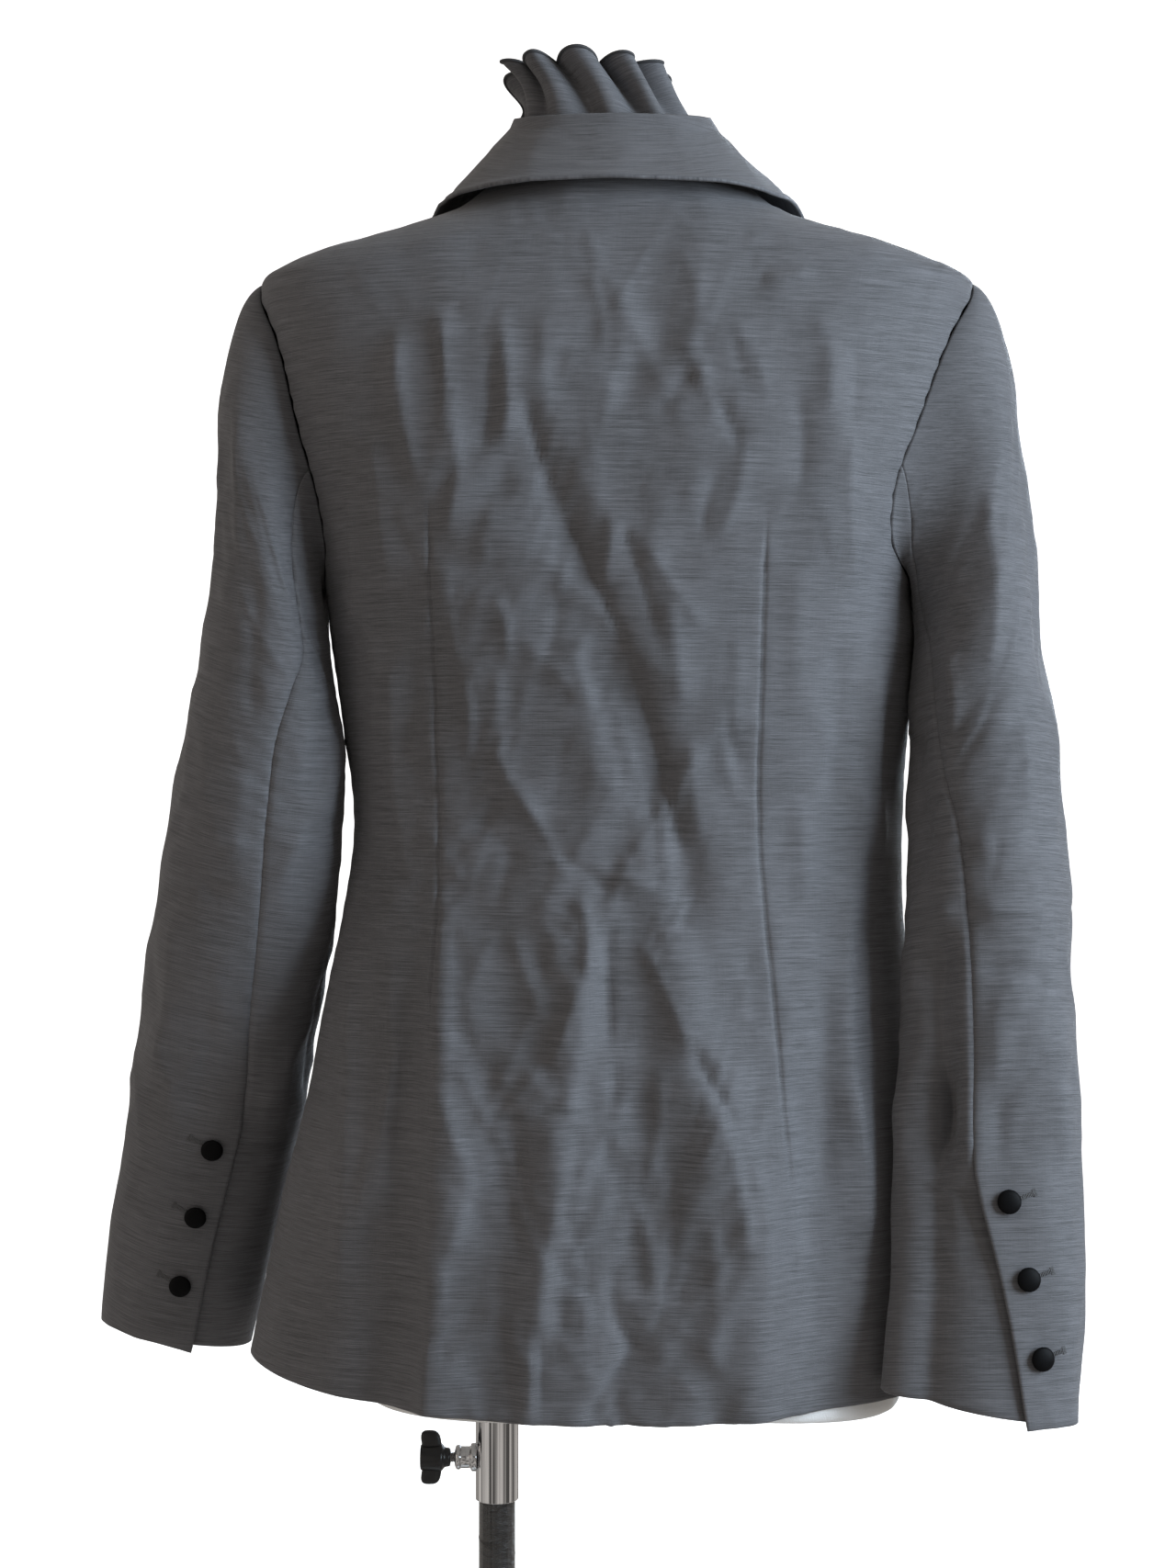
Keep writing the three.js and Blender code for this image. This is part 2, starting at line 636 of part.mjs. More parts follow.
function sleeveNormal(sleeve, share, around) {
  const along = sleevePoint(sleeve, share + 0.01, around, 0)
    .sub(sleevePoint(sleeve, Math.max(share - 0.01, 0), around, 0));
  const across = sleevePoint(sleeve, share, around + 3, 0).sub(sleevePoint(sleeve, share, around - 3, 0));
  return along.cross(across).multiplyScalar(sleeve.side).normalize();
}

function sleeveHeight(sleeve, share) {
  return lerp(SLEEVE_TOP, sleeve.cuffOuter, share);
}

// The share of the vent's lift: 0 above it, 1 from a little above where the layers lap.
function ventShare(sleeve, share) {
  const height = sleeveHeight(sleeve, share) - sleeve.cuffOuter;
  return 1 - smooth(height, VENT_LENGTH + 4, VENT_LENGTH + VENT_EASE + 6);
}

function backSeam(sleeve, share) {
  const below = read(sleeve.rows, 'seam', sleeveHeight(sleeve, share) - 60 * (1 - share));
  return lerp(SEAM_AT_ARMHOLE, below, Math.min(share / 0.12, 1));
}

// A sleeve piece over a run of turns around the arm, each with its lift.
function sleeveWall(sleeve, columns, turnAt, liftAt) {
  const at = (depth) => (r, c) => {
    const share = SLEEVE_SHARES[r];
    const around = turnAt(share, c / columns);
    const p = sleevePoint(sleeve, share, around, liftAt(share, around));
    return p.addScaledVector(sleeveNormal(sleeve, share, around), -depth);
  };
  return wall(SLEEVE_ROWS, columns, at(0), at(WALL));
}

const SLEEVE_GAP_TURN = SEAM_GAP / 2 * ARM_GIRTH_TURN;

function upperSleeve(sleeve) {
  const turnAt = (share, part) =>
    lerp(SLEEVE_GAP_TURN - SEAM_AT_ARMHOLE, backSeam(sleeve, share) - SLEEVE_GAP_TURN, part);
  const liftAt = (share, around) => {
    const toEdge = (backSeam(sleeve, share) - around) / ARM_GIRTH_TURN;
    const near = 1 - smooth(toEdge, VENT_LAP + 4, VENT_BAND + 14);
    return VENT_LIFT * ventShare(sleeve, share) * near;
  };
  return sleeveWall(sleeve, UPPER_COLUMNS, turnAt, liftAt);
}

function underSleeve(sleeve) {
  const turnAt = (share, part) => {
    const laps = sleeveHeight(sleeve, share) - sleeve.cuffOuter < VENT_LENGTH - 5;
    const from = backSeam(sleeve, share) + SLEEVE_GAP_TURN - (laps ? VENT_LAP * ARM_GIRTH_TURN : 0);
    return lerp(from, 360 - SEAM_AT_ARMHOLE - SLEEVE_GAP_TURN, part);
  };
  return sleeveWall(sleeve, UNDER_COLUMNS, turnAt, () => 0);
}

// ---- buttons ----
function buttonGeometry({ radius, rim, dome }) {
  return lathe([
    [0, 0], [radius * BUTTON_BACK, 0], [radius, rim * 0.4], [radius, rim * 0.75],
    [radius * 0.78, rim + dome * 0.45], [radius * 0.4, rim + dome * 0.88], [0, rim + dome],
  ], BUTTON_SIDES);
}

// How far the cloth's facets rise above place along normal, within a radius.
function facetHeight(cloth, place, normal, radius) {
  const from = 20;
  const turned = new THREE.Quaternion().setFromUnitVectors(point(0, 0, 1), normal);
  const ray = new THREE.Raycaster();
  let height = -Infinity;
  for (let i = 0; i <= 12; i += 1) {
    const reach = i === 12 ? 0 : radius;
    const aside = point(reach * Math.cos(Math.PI * i / 6), reach * Math.sin(Math.PI * i / 6), from);
    ray.set(place.clone().add(aside.applyQuaternion(turned)), normal.clone().negate());
    const [hit] = ray.intersectObject(cloth);
    if (hit) {
      height = Math.max(height, from - hit.distance);
    }
  }
  return height;
}

// Adds a button whose back is flat against a piece's cloth.
function addButton(name, sizes, clothGeometry, place, normal) {
  const mesh = addPiece(dressed, name, buttonGeometry(sizes), blackHorn);
  const cloth = new THREE.Mesh(clothGeometry, suiting);
  const off = facetHeight(cloth, place, normal, sizes.radius * BUTTON_BACK) + SEAM_GAP;
  mesh.position.copy(place).addScaledVector(normal, off);
  mesh.quaternion.setFromUnitVectors(point(0, 0, 1), normal);
}

function addFrontButtons(cloth) {
  const names = ['top_inner', 'top_outer', 'middle_inner', 'middle_outer', 'low_inner', 'low_outer'];
  names.forEach((name, i) => {
    const height = FRONT_BUTTON_HEIGHTS[Math.floor(i / 2)];
    const x = i % 2 === 0 ? FRONT_BUTTON_OUT : -FRONT_BUTTON_OUT;
    const place = frontPoint(-1, x, height, 0);
    const normal = torsoNormal(frontTurn(x, height), height);
    addButton('button_front_' + name, FRONT_BUTTON, cloth, place, normal);
  });
}

function addCuffButtons(sideName, cloth) {
  const sleeve = SLEEVES[sideName];
  for (let i = 0; i < 3; i += 1) {
    const height = sleeve.cuffOuter + CUFF_BUTTONS.first - CUFF_BUTTONS.pitch * i;
    const share = (SLEEVE_TOP - height) / (SLEEVE_TOP - sleeve.cuffOuter);
    const around = backSeam(sleeve, share) - CUFF_BUTTONS.fromEdge * ARM_GIRTH_TURN;
    const place = sleevePoint(sleeve, share, around, VENT_LIFT);
    const normal = sleeveNormal(sleeve, share, around);
    addButton(`button_cuff_${sideName}_${i + 1}`, CUFF_BUTTON, cloth, place, normal);
  }
}

// ---- the form and its stand ----
// The form follows the inside of the garment: close under the shoulders, looser elsewhere.
const HIPS = table(['height', 'width', 'back', 'front', 'shift', 'square'],
  [-7, 138, 94, 94, -8, 0.16],
  [-4, 149, 103, 104, -8, 0.16],
  [8, 155, 105, 110, -8, 0.13],
  [55, 163, 108, 110, -6, 0.06],
  [104, 168, 105, 108, -4, 0.03],
  [157, 163, 97, 101, -3, 0.03],
  [210, 153, 87, 94, -3, 0.03],
  [264, 146, 78, 89, -4, 0.03],
  [318, 142, 74, 86, -5, 0.03],
  [371, 147, 80, 93, -4, 0.03],
  [425, 153, 89, 104, -2, 0.04]);
const SHOULDERS = table(['height', 'ease'],
  [470, 10],
  [520, 11],
  [565, 11],
  [602, 10],
  [622, 9],
  [634, 5.5],
  [645, 3.1],
  [659, 2.9],
  [671, 3.4]);
const NECK = table(['height', 'width', 'back', 'front'],
  [688, 57, 43, 44],
  [697, 45, 36, 42],
  [706, 42, 34, 40],
  [709, 37, 30, 35]);

function formSolid() {
  const around = 28;
  const rings = [];
  for (const row of HIPS) {
    rings.push((turn) => ovalPoint(row, turn));
  }
  for (const row of SHOULDERS) {
    rings.push((turn) => torsoPoint(turn, row.height, -row.ease));
  }
  for (const row of NECK) {
    rings.push((turn) => ovalPoint({ shift: 0, square: 0, ...row }, turn));
  }
  const points = rings.flatMap((ring) =>
    Array.from({ length: around }, (_, i) => ring(360 * i / around)));
  const faces = [];
  for (let r = 0; r < rings.length - 1; r += 1) {
    for (let i = 0; i < around; i += 1) {
      const a = r * around + i;
      const b = r * around + (i + 1) % around;
      faces.push([a, b, b + around], [a, b + around, a + around]);
    }
  }
  const top = points.length;
  points.push(point(0, 0, NECK[NECK.length - 1].height + 1));
  points.push(point(HIPS[0].shift, 0, HIPS[0].height));
  const lastRing = (rings.length - 1) * around;
  for (let i = 0; i < around; i += 1) {
    const next = (i + 1) % around;
    faces.push([top, lastRing + i, lastRing + next], [top + 1, next, i]);
  }
  return solidOf(geometryOf(points, faces));
}

function alongX(radius, from, to, height, sides = ROUND_SIDES) {
  return new THREE.CylinderGeometry(radius, radius, to - from, sides)
    .rotateZ(Math.PI / 2)
    .translate(POLE_OFF_CENTRE + (from + to) / 2, 0, height);
}

function formPiece() {
  const bore = upright(TUBE.outer + FIT_GAP, -40, TUBE.top + FIT_GAP).translate(POLE_OFF_CENTRE, 0, 0);
  return geometryFrom(formSolid().subtract(solidOf(bore)));
}

const SCREW_HOLE = CLAMP.screwRadius + FIT_GAP;
const BOSS_START = TUBE.outer - 2;
const BOSS_END = TUBE.outer + CLAMP.bossLength;
const KNOB_START = BOSS_END + KNOB.screwShows;

function tubePiece() {
  const { outer, inner, bottom, top } = TUBE;
  const section = [[inner, bottom], [outer, bottom], [outer, top], [inner, top], [inner, bottom]];
  const tube = lathe(section).translate(POLE_OFF_CENTRE, 0, 0);
  const hole = alongX(SCREW_HOLE, 5, 30, CLAMP.height, 16);
  return geometryFrom(solidOf(tube).subtract(solidOf(hole)));
}

function bossPiece() {
  const blank = alongX(CLAMP.bossRadius, BOSS_START, BOSS_END, CLAMP.height, 20);
  const seatCut = upright(TUBE.outer + FIT_GAP, TUBE.bottom, 0).translate(POLE_OFF_CENTRE, 0, 0);
  const hole = alongX(SCREW_HOLE, 5, 60, CLAMP.height, 16);
  return geometryFrom(solidOf(blank).subtract(solidOf(seatCut)).subtract(solidOf(hole)));
}

function screwPiece() {
  return alongX(CLAMP.screwRadius, TUBE.inner + FIT_GAP, KNOB_START - FIT_GAP, CLAMP.height, 16);
}

// A round hub with two flat wings, one above and one below.
function knobPiece() {
  const hub = alongX(KNOB.hubRadius, KNOB_START, KNOB_START + KNOB.hubLength, CLAMP.height, 20);
  const outline = new THREE.Shape();
  const half = KNOB.wingHeight / 2;
  outline.moveTo(1, -half + 3);
  outline.quadraticCurveTo(1, -half, 5, -half);
  outline.quadraticCurveTo(11, -half, 12, -half + 6);
  outline.lineTo(12, half - 6);
  outline.quadraticCurveTo(11, half, 5, half);
  outline.quadraticCurveTo(1, half, 1, half - 3);
  outline.closePath();
  const plate = { depth: KNOB.wingThick, bevelEnabled: false, curveSegments: 4 };
  const wing = new THREE.ExtrudeGeometry(outline, plate)
    .rotateX(Math.PI / 2)
    .translate(POLE_OFF_CENTRE + KNOB_START, KNOB.wingThick / 2, CLAMP.height);
  return geometryFrom(solidOf(hub).add(solidOf(wing)));
}

function basePiece() {
  const { radius, thickness, edge } = BASE;
  return lathe([
    [0, 0], [radius - 1, 0], [radius, 1], [radius, thickness - edge],
    [radius - edge, thickness], [0, thickness],
  ], 36);
}

function hubPiece() {
  const bore = POLE.radius + FIT_GAP;
  const bottom = BASE.thickness + FIT_GAP;
  return lathe([
    [bore, bottom], [HUB.radius, bottom], [HUB.radius, bottom + 6], [HUB.top, bottom + 14],
    [HUB.top, bottom + HUB.height], [bore, bottom + HUB.height], [bore, bottom],
  ]);
}

function polePiece() {
  return upright(POLE.radius, BASE.thickness + FIT_GAP, HEM_ABOVE_FLOOR + POLE.top);
}

addPiece(dressed, 'back', backPiece(), suiting);
addPiece(dressed, 'front_left', frontPiece(1), suiting);
const frontRight = addPiece(dressed, 'front_right', frontPiece(-1), suiting);
addPiece(dressed, 'lapel_left', lapelPiece(1), suiting);
addPiece(dressed, 'lapel_right', lapelPiece(-1), suiting);
addPiece(dressed, 'collar', collarPiece(), suiting);
addPiece(dressed, 'ruffle', rufflePiece(), suiting);
for (const [name, sleeve] of Object.entries(SLEEVES)) {
  const upper = addPiece(dressed, 'sleeve_upper_' + name, upperSleeve(sleeve), suiting);
  addPiece(dressed, 'sleeve_under_' + name, underSleeve(sleeve), suiting);
  addCuffButtons(name, upper.geometry);
}
addFrontButtons(frontRight.geometry);
addPiece(dressed, 'form_torso', formPiece(), formSkin);
addPiece(dressed, 'tube', tubePiece(), chrome);
addPiece(dressed, 'clamp_boss', bossPiece(), chrome);
addPiece(dressed, 'knob_screw', screwPiece(), chrome);
addPiece(dressed, 'knob_grip', knobPiece(), blackPlastic);
addPiece(product, 'pole', polePiece(), wrappedPole);
addPiece(product, 'base', basePiece(), formSkin);
addPiece(product, 'base_hub', hubPiece(), chrome);

export default product;
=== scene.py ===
"""Double-breasted blazer on a dress form: cloth, buttons, form and stand, dressed over the solid model.

Sizes are millimetres in the garment's own frame, whose z = 0 is the back hem, unless a name ends in _m.
The garment faces -Y and its wearer's left is +X.
"""
import math

import bpy
import numpy as np
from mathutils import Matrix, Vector


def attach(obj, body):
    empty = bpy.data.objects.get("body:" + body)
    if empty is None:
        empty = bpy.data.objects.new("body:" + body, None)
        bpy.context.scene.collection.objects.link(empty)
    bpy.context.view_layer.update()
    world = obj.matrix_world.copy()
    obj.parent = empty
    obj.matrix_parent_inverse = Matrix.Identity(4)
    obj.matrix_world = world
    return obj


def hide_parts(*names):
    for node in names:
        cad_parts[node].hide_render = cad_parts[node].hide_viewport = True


bl_info = {
    "name": "Double-breasted blazer on a dress form",
    "version": (1, 0, 0),
    "blender": (4, 5, 0),
    "location": "3D View > Sidebar > Blazer",
    "description": "Makes a creased suiting blazer with a pleated frill, its buttons, the form and the stand",
    "category": "Object",
}

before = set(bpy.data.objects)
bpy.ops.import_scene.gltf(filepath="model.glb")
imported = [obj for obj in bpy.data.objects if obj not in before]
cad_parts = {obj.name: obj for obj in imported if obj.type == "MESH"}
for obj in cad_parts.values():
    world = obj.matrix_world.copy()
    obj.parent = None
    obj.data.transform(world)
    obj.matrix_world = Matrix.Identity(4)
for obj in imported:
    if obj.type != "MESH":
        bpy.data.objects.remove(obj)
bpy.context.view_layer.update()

HEM_ABOVE_FLOOR = 600
POLE_OFF_CENTRE = 70
GARMENT_ORIGIN = np.array([-POLE_OFF_CENTRE, 0, HEM_ABOVE_FLOOR])
NECK_HEIGHT = 692
HEM_RISE = 17
HEM_RISE_UP_TO = 180
ARMHOLE_MIDDLE = 546
ARMHOLE_HALF_HEIGHT = 89
UNDERARM_HEIGHT = ARMHOLE_MIDDLE - ARMHOLE_HALF_HEIGHT
ARMHOLE_TOP = ARMHOLE_MIDDLE + ARMHOLE_HALF_HEIGHT
FRONT_EDGE = 65
BREAK_HEIGHT = 340
ROLL_TOP = 62.8
OVERLAP_LIFT = 3.2
LAPEL_TIP_OUT = 120
LAPEL_TIP_HEIGHT = 600
GORGE_HEIGHT = 640
LAPEL_GAP = 0.8
LEFT_LAPEL_START = 466
RUFFLE_WAVES = 11
RUFFLE_END = 0.975
CUFF_BUTTON_RADIUS = 6.5
FRONT_BUTTON_RADIUS = 10.5
FRONT_BUTTON_OUT = 46
FRONT_BUTTON_HEIGHTS = (318, 214, 110)
SLEEVE_TOP = 632
SEAM_AT_ARMHOLE = 108
ARM_GIRTH_TURN = 360 / 260
VENT_LENGTH = 125
VENT_EASE = 22
VENT_LAP = 20
VENT_BAND = 34
VENT_LIFT = 2.7
BODY_CLEARANCE = 3.5
CUFF_BUTTON_FIRST = 118
CUFF_BUTTON_PITCH = 42
CUFF_BUTTON_FROM_EDGE = 11
COLLAR_SHIFT = 3
CLAMP_HEIGHT = -49
UP = np.array([0.0, 0.0, 1.0])


def table(names, *rows):
    """Rows of numbers as named columns."""
    columns = np.array(rows, dtype=float).T
    return dict(zip(names.split(), columns))


# Half width and depths of the cloth's outer surface at each height.
TORSO = table(
    "height width back front shift square",
    (0, 212, 117, 128, 0, 0.03), (104, 194, 116, 120, 0, 0.03), (157, 181, 108, 113, -1, 0.03),
    (200, 173, 100, 107, -1, 0.03), (264, 163, 90, 101, -3, 0.03), (318, 159, 86, 99, -6, 0.03),
    (371, 163, 92, 106, -5, 0.04), (425, 169, 100, 117, -3, 0.05), (457, 169, 104, 122, 0, 0.07),
    (500, 178, 105, 119, 0, 0.09), (546, 192, 103, 109, 0, 0.1), (600, 203, 94, 92, 0, 0.09),
    (630, 206, 84, 78, 0, 0.08), (641, 190, 80, 73, 0, 0.07), (649, 167, 77, 69, 0, 0.06),
    (661, 126, 72, 61, 0, 0.05), (673, 96, 67, 53, 0, 0.03), (692, 71, 57, 42, 0, 0))

# How far the armhole's edge is turned from the side seam, from its top (0) to its bottom (180).
ARMHOLE = table(
    "around leftBack rightBack front",
    (0, 0, 0, 0), (30, 13, 18, 13), (60, 25, 31, 23), (90, 28, 37, 27), (120, 26, 38, 25),
    (150, 19, 29, 17), (180, 0, 0, 0))

SLEEVE_COLUMNS = "height outer inner depth half seam"
SLEEVES = {
    "left": dict(side=1, cuff_outer=20, cuff_inner=5, back="leftBack", settle=0.12, armpit=0, rows=table(
        SLEEVE_COLUMNS,
        (0, 313, 223, -62, 34, 106), (72, 306, 206, -54, 36, 110), (157, 288, 186, -38, 39, 113),
        (200, 280, 177, -26, 40, 108), (243, 273, 169, -12, 42, 106), (286, 265, 163, 2, 43, 104),
        (329, 257, 159, 13, 45, 102), (371, 248, 158, 19, 46, 103), (414, 241, 164, 21, 48, 112),
        (457, 233, 170, 19, 51, 125), (500, 228, 174, 14, 54, 121), (543, 226, 174, 9, 56, 116),
        (585, 225, 174, 4, 55, 111), (612, 226, 174, 1, 53, 109), (635, 222, 174, 0, 52, 108))),
    "right": dict(side=-1, cuff_outer=1, cuff_inner=17, back="rightBack", settle=0.05, armpit=15, rows=table(
        SLEEVE_COLUMNS,
        (0, 246, 139, 106, 25, 66), (72, 252, 146, 98, 26, 88), (130, 253, 149, 86, 29, 103),
        (190, 252, 156, 72, 34, 106), (243, 251, 160, 62, 38, 109), (286, 249, 163, 56, 41, 113),
        (329, 246, 163, 50, 43, 118), (371, 244, 166, 44, 45, 128), (414, 239, 166, 37, 48, 137),
        (457, 237, 167, 26, 52, 140), (500, 234, 171, 16, 54, 136), (543, 229, 172, 9, 56, 126),
        (585, 226, 172, 6, 56, 114), (612, 226, 172, 4, 54, 110), (635, 222, 172, 3, 52, 108))),
}

# Half of the collar, from the centre back (0) to its front end (1).
COLLAR = table(
    "along seamX seamY seamZ foldX foldY foldZ edgeX edgeY edgeZ",
    (0, 0, 57, 693.3, 0, 48, 719, 0, 79, 677), (0.19, 38, 48, 693.3, 29, 41, 720, 53, 68, 676),
    (0.37, 62, 27, 693.3, 48, 23, 724, 88, 39, 676), (0.54, 70.5, 0, 693.3, 54, 0, 728, 101, 0, 680),
    (0.7, 69, -24, 690, 56, -27, 716, 113, -28, 668), (0.85, 64, -44, 676, 56, -52, 690, 117, -50, 652),
    (1, 56, -60, 658, 52, -70, 662, 108, -66, 637))

RUFFLE = table(
    "up rise inset above wave skew lean",
    (0, 0, 5.5, 0, 1.0, 0.0, 0), (0.25, 0.75, 7, 0, 2.4, 0.004, 0.06), (0.55, 1, 10, 18, 5.5, 0.013, 0.42),
    (1, 1, 7, 36.5, 10, 0.024, 1))

# Folds and creases: a curve from its start past its bend to its end, its half width, and how far it
# stands out, or sinks in where the height is negative. A positive lean makes its left flank the wide one.
CREASE_COLUMNS = "startX startZ bendX bendZ endX endZ width height lean"
BACK_FOLDS = table(
    CREASE_COLUMNS,
    (50, 530, 14, 440, -36, 296, 12, -4, 0), (-2, 520, -22, 400, -60, 300, 16, 2, 0),
    (96, 277, 92, 150, 103, -20, 15, 6, -0.6), (126, 240, 122, 120, 134, -20, 14, -5, 0),
    (14, 285, 22, 190, 44, 60, 14, 5.5, 0.8), (-8, 250, -22, 150, 4, -20, 14, -5, 0),
    (-18, 290, -40, 220, -46, 150, 13, 5, 0), (-40, 190, -76, 130, -72, -20, 16, 6, 0),
    (-104, 230, -112, 110, -118, -20, 15, -5, 0), (62, 200, 66, 90, 70, -20, 15, -1.5, 0),
    (-120, 600, -126, 550, -112, 500, 16, 4, 0))
FRONT_FOLDS = table(
    CREASE_COLUMNS,
    (-150, 440, -126, 300, -132, -20, 16, 4, 0), (148, 440, 124, 310, 130, -20, 16, 4, 0),
    (-104, 240, -98, 120, -104, -20, 14, -4, 0), (102, 250, 98, 130, 106, -20, 14, -4, 0))

BACK_CREASES = table(
    CREASE_COLUMNS,
    # the long diagonal and what branches from it
    (52, 562, 46, 520, 30, 490, 5, -2.2, 0.4), (36, 500, 16, 462, -10, 402, 5.5, -2.5, 0.5),
    (-4, 414, -24, 360, -38, 292, 5.5, -2.5, 0.5), (0, 484, -8, 470, -24, 410, 5, -1.9, 0),
    (6, 492, 2, 470, 12, 446, 5, 1.8, 0), (-26, 448, -30, 420, -34, 380, 8, 2.0, 0),
    (-12, 478, -26, 448, -50, 424, 6, 1.5, 0), (-40, 372, -36, 345, -48, 300, 6, 1.4, 0),
    # upper back
    (98, 606, 94, 570, 90, 520, 6, 3.2, -0.3), (90, 540, 82, 510, 96, 470, 7, 2.8, 0),
    (64, 596, 58, 560, 62, 520, 6, 2.6, 0), (72, 580, 66, 550, 76, 520, 5, -2.0, 0),
    (122, 596, 120, 550, 108, 500, 7, 2.8, -0.4), (136, 540, 132, 500, 124, 440, 8, 2.2, -0.3),
    (40, 604, 44, 570, 38, 540, 7, 1.3, 0), (-42, 566, -30, 556, -18, 540, 5, -1.9, 0),
    (-44, 562, -58, 545, -68, 520, 5, -2.0, 0), (-66, 536, -70, 500, -50, 472, 6, 1.7, 0),
    (-60, 596, -72, 580, -82, 548, 7, 1.5, 0), (-79, 622, -92, 612, -106, 630, 6, 1.8, 0),
    (-106, 602, -118, 575, -112, 540, 7, 1.9, 0), (-126, 590, -132, 560, -122, 520, 8, -2.2, 0),
    (-94, 560, -104, 530, -96, 500, 7, -1.6, 0), (-8, 622, 4, 600, -4, 560, 9, 1.0, 0),
    (118, 600, 126, 560, 120, 520, 9, 1.4, 0), (20, 650, 10, 630, 14, 604, 8, 0.9, 0),
    (-30, 640, -46, 620, -40, 596, 8, 0.9, 0), (70, 652, 96, 640, 120, 640, 7, 1.0, 0),
    # left waist
    (94, 470, 96, 440, 84, 400, 7, 1.9, 0), (86, 410, 76, 380, 84, 352, 6, 1.8, 0),
    (70, 446, 56, 436, 62, 404, 5, 1.7, 0), (64, 412, 70, 380, 60, 346, 6, 1.6, 0),
    (72, 372, 60, 340, 40, 318, 6, 1.9, 0), (56, 348, 44, 320, 24, 284, 7, 2.0, 0.3),
    (48, 312, 20, 300, -4, 276, 7, -1.8, 0), (30, 300, -6, 296, -36, 272, 7, 1.6, 0),
    (36, 452, 30, 430, 44, 404, 6, -1.2, 0), (20, 430, 26, 404, 14, 380, 7, 1.1, 0),
    (110, 430, 116, 390, 112, 340, 8, -1.3, 0), (140, 440, 132, 400, 136, 350, 9, 1.5, 0),
    # right waist and side
    (-100, 470, -94, 430, -98, 380, 8, 1.3, 0), (-118, 430, -124, 380, -116, 320, 8, -1.6, 0),
    (-60, 430, -68, 400, -62, 360, 8, 1.1, 0), (-132, 360, -140, 310, -128, 260, 9, 1.8, 0),
    (-96, 340, -106, 310, -100, 270, 7, 1.2, 0), (-20, 340, -30, 320, -22, 290, 7, 1.1, 0),
    # skirt, from the wearer's left to the right
    (98, 286, 90, 230, 95, 176, 6, 2.6, 0.5), (95, 186, 90, 150, 78, 132, 6, 2.4, 0.4),
    (79, 140, 82, 110, 92, 84, 6, 2.2, 0.4), (92, 96, 96, 50, 106, -4, 7, 2.4, 0.4),
    (112, 232, 120, 190, 124, 120, 7, -1.8, 0), (126, 150, 132, 90, 128, 30, 9, 1.6, 0),
    (112, 226, 134, 152, 145, 80, 5, 2.4, -0.4), (60, 268, 52, 240, 36, 204, 7, 1.6, 0),
    (22, 286, 14, 262, 18, 232, 5, 2.6, -0.4), (18, 240, 30, 206, 38, 186, 6, 2.4, -0.3),
    (38, 192, 54, 176, 70, 152, 6, 2.0, 0), (6, 270, 8, 230, 4, 190, 6, -2.4, 0),
    (4, 200, 0, 170, 12, 130, 7, -2.4, 0), (20, 176, 12, 140, 30, 96, 7, 1.8, 0),
    (28, 130, 46, 90, 40, 40, 8, 1.4, 0), (52, 150, 62, 120, 52, 80, 7, -1.4, 0),
    (-10, 262, -24, 232, -40, 190, 5, 2.4, -0.4), (-38, 200, -52, 176, -64, 150, 5, -2.6, 0),
    (-46, 186, -64, 140, -68, 84, 6, 2.2, 0.4), (-62, 160, -82, 120, -78, 60, 7, 2.0, 0),
    (-20, 196, -26, 160, -12, 120, 6, 2.0, 0), (-24, 150, -34, 110, -22, 60, 7, -2.2, 0),
    (-2, 130, -22, 96, -16, 70, 6, 1.8, 0), (0, 90, 14, 60, -14, 34, 5, -2.2, 0.3),
    (-12, 44, 8, 26, 20, -4, 5, -2.4, 0), (-46, 120, -54, 80, -48, 20, 8, 1.6, 0),
    (-96, 190, -104, 140, -100, 80, 7, -1.4, 0), (-124, 190, -136, 150, -140, 70, 6, 2.2, 0.4),
    (-112, 120, -118, 70, -112, 10, 8, 1.3, 0), (-150, 200, -162, 120, -168, 30, 9, -1.4, 0),
    (-20, 60, -40, 50, -60, 20, 7, 1.0, 0), (60, 60, 64, 30, 56, 0, 8, -1.2, 0),
    # the sides, outside the darts
    (150, 262, 146, 160, 153, 40, 9, 2.8, 0.3), (127, 256, 121, 180, 133, 96, 7, 3.0, -0.3),
    (122, 424, 130, 362, 119, 300, 8, 2.4, 0.3), (150, 520, 142, 470, 150, 420, 8, 2.2, 0),
    (-130, 300, -122, 220, -134, 120, 8, 2.8, 0.4), (-146, 424, -138, 360, -150, 290, 8, 2.6, 0.3),
    (-112, 250, -120, 180, -112, 110, 7, -2.2, 0), (-128, 560, -120, 500, -130, 440, 8, 2.2, 0.3))

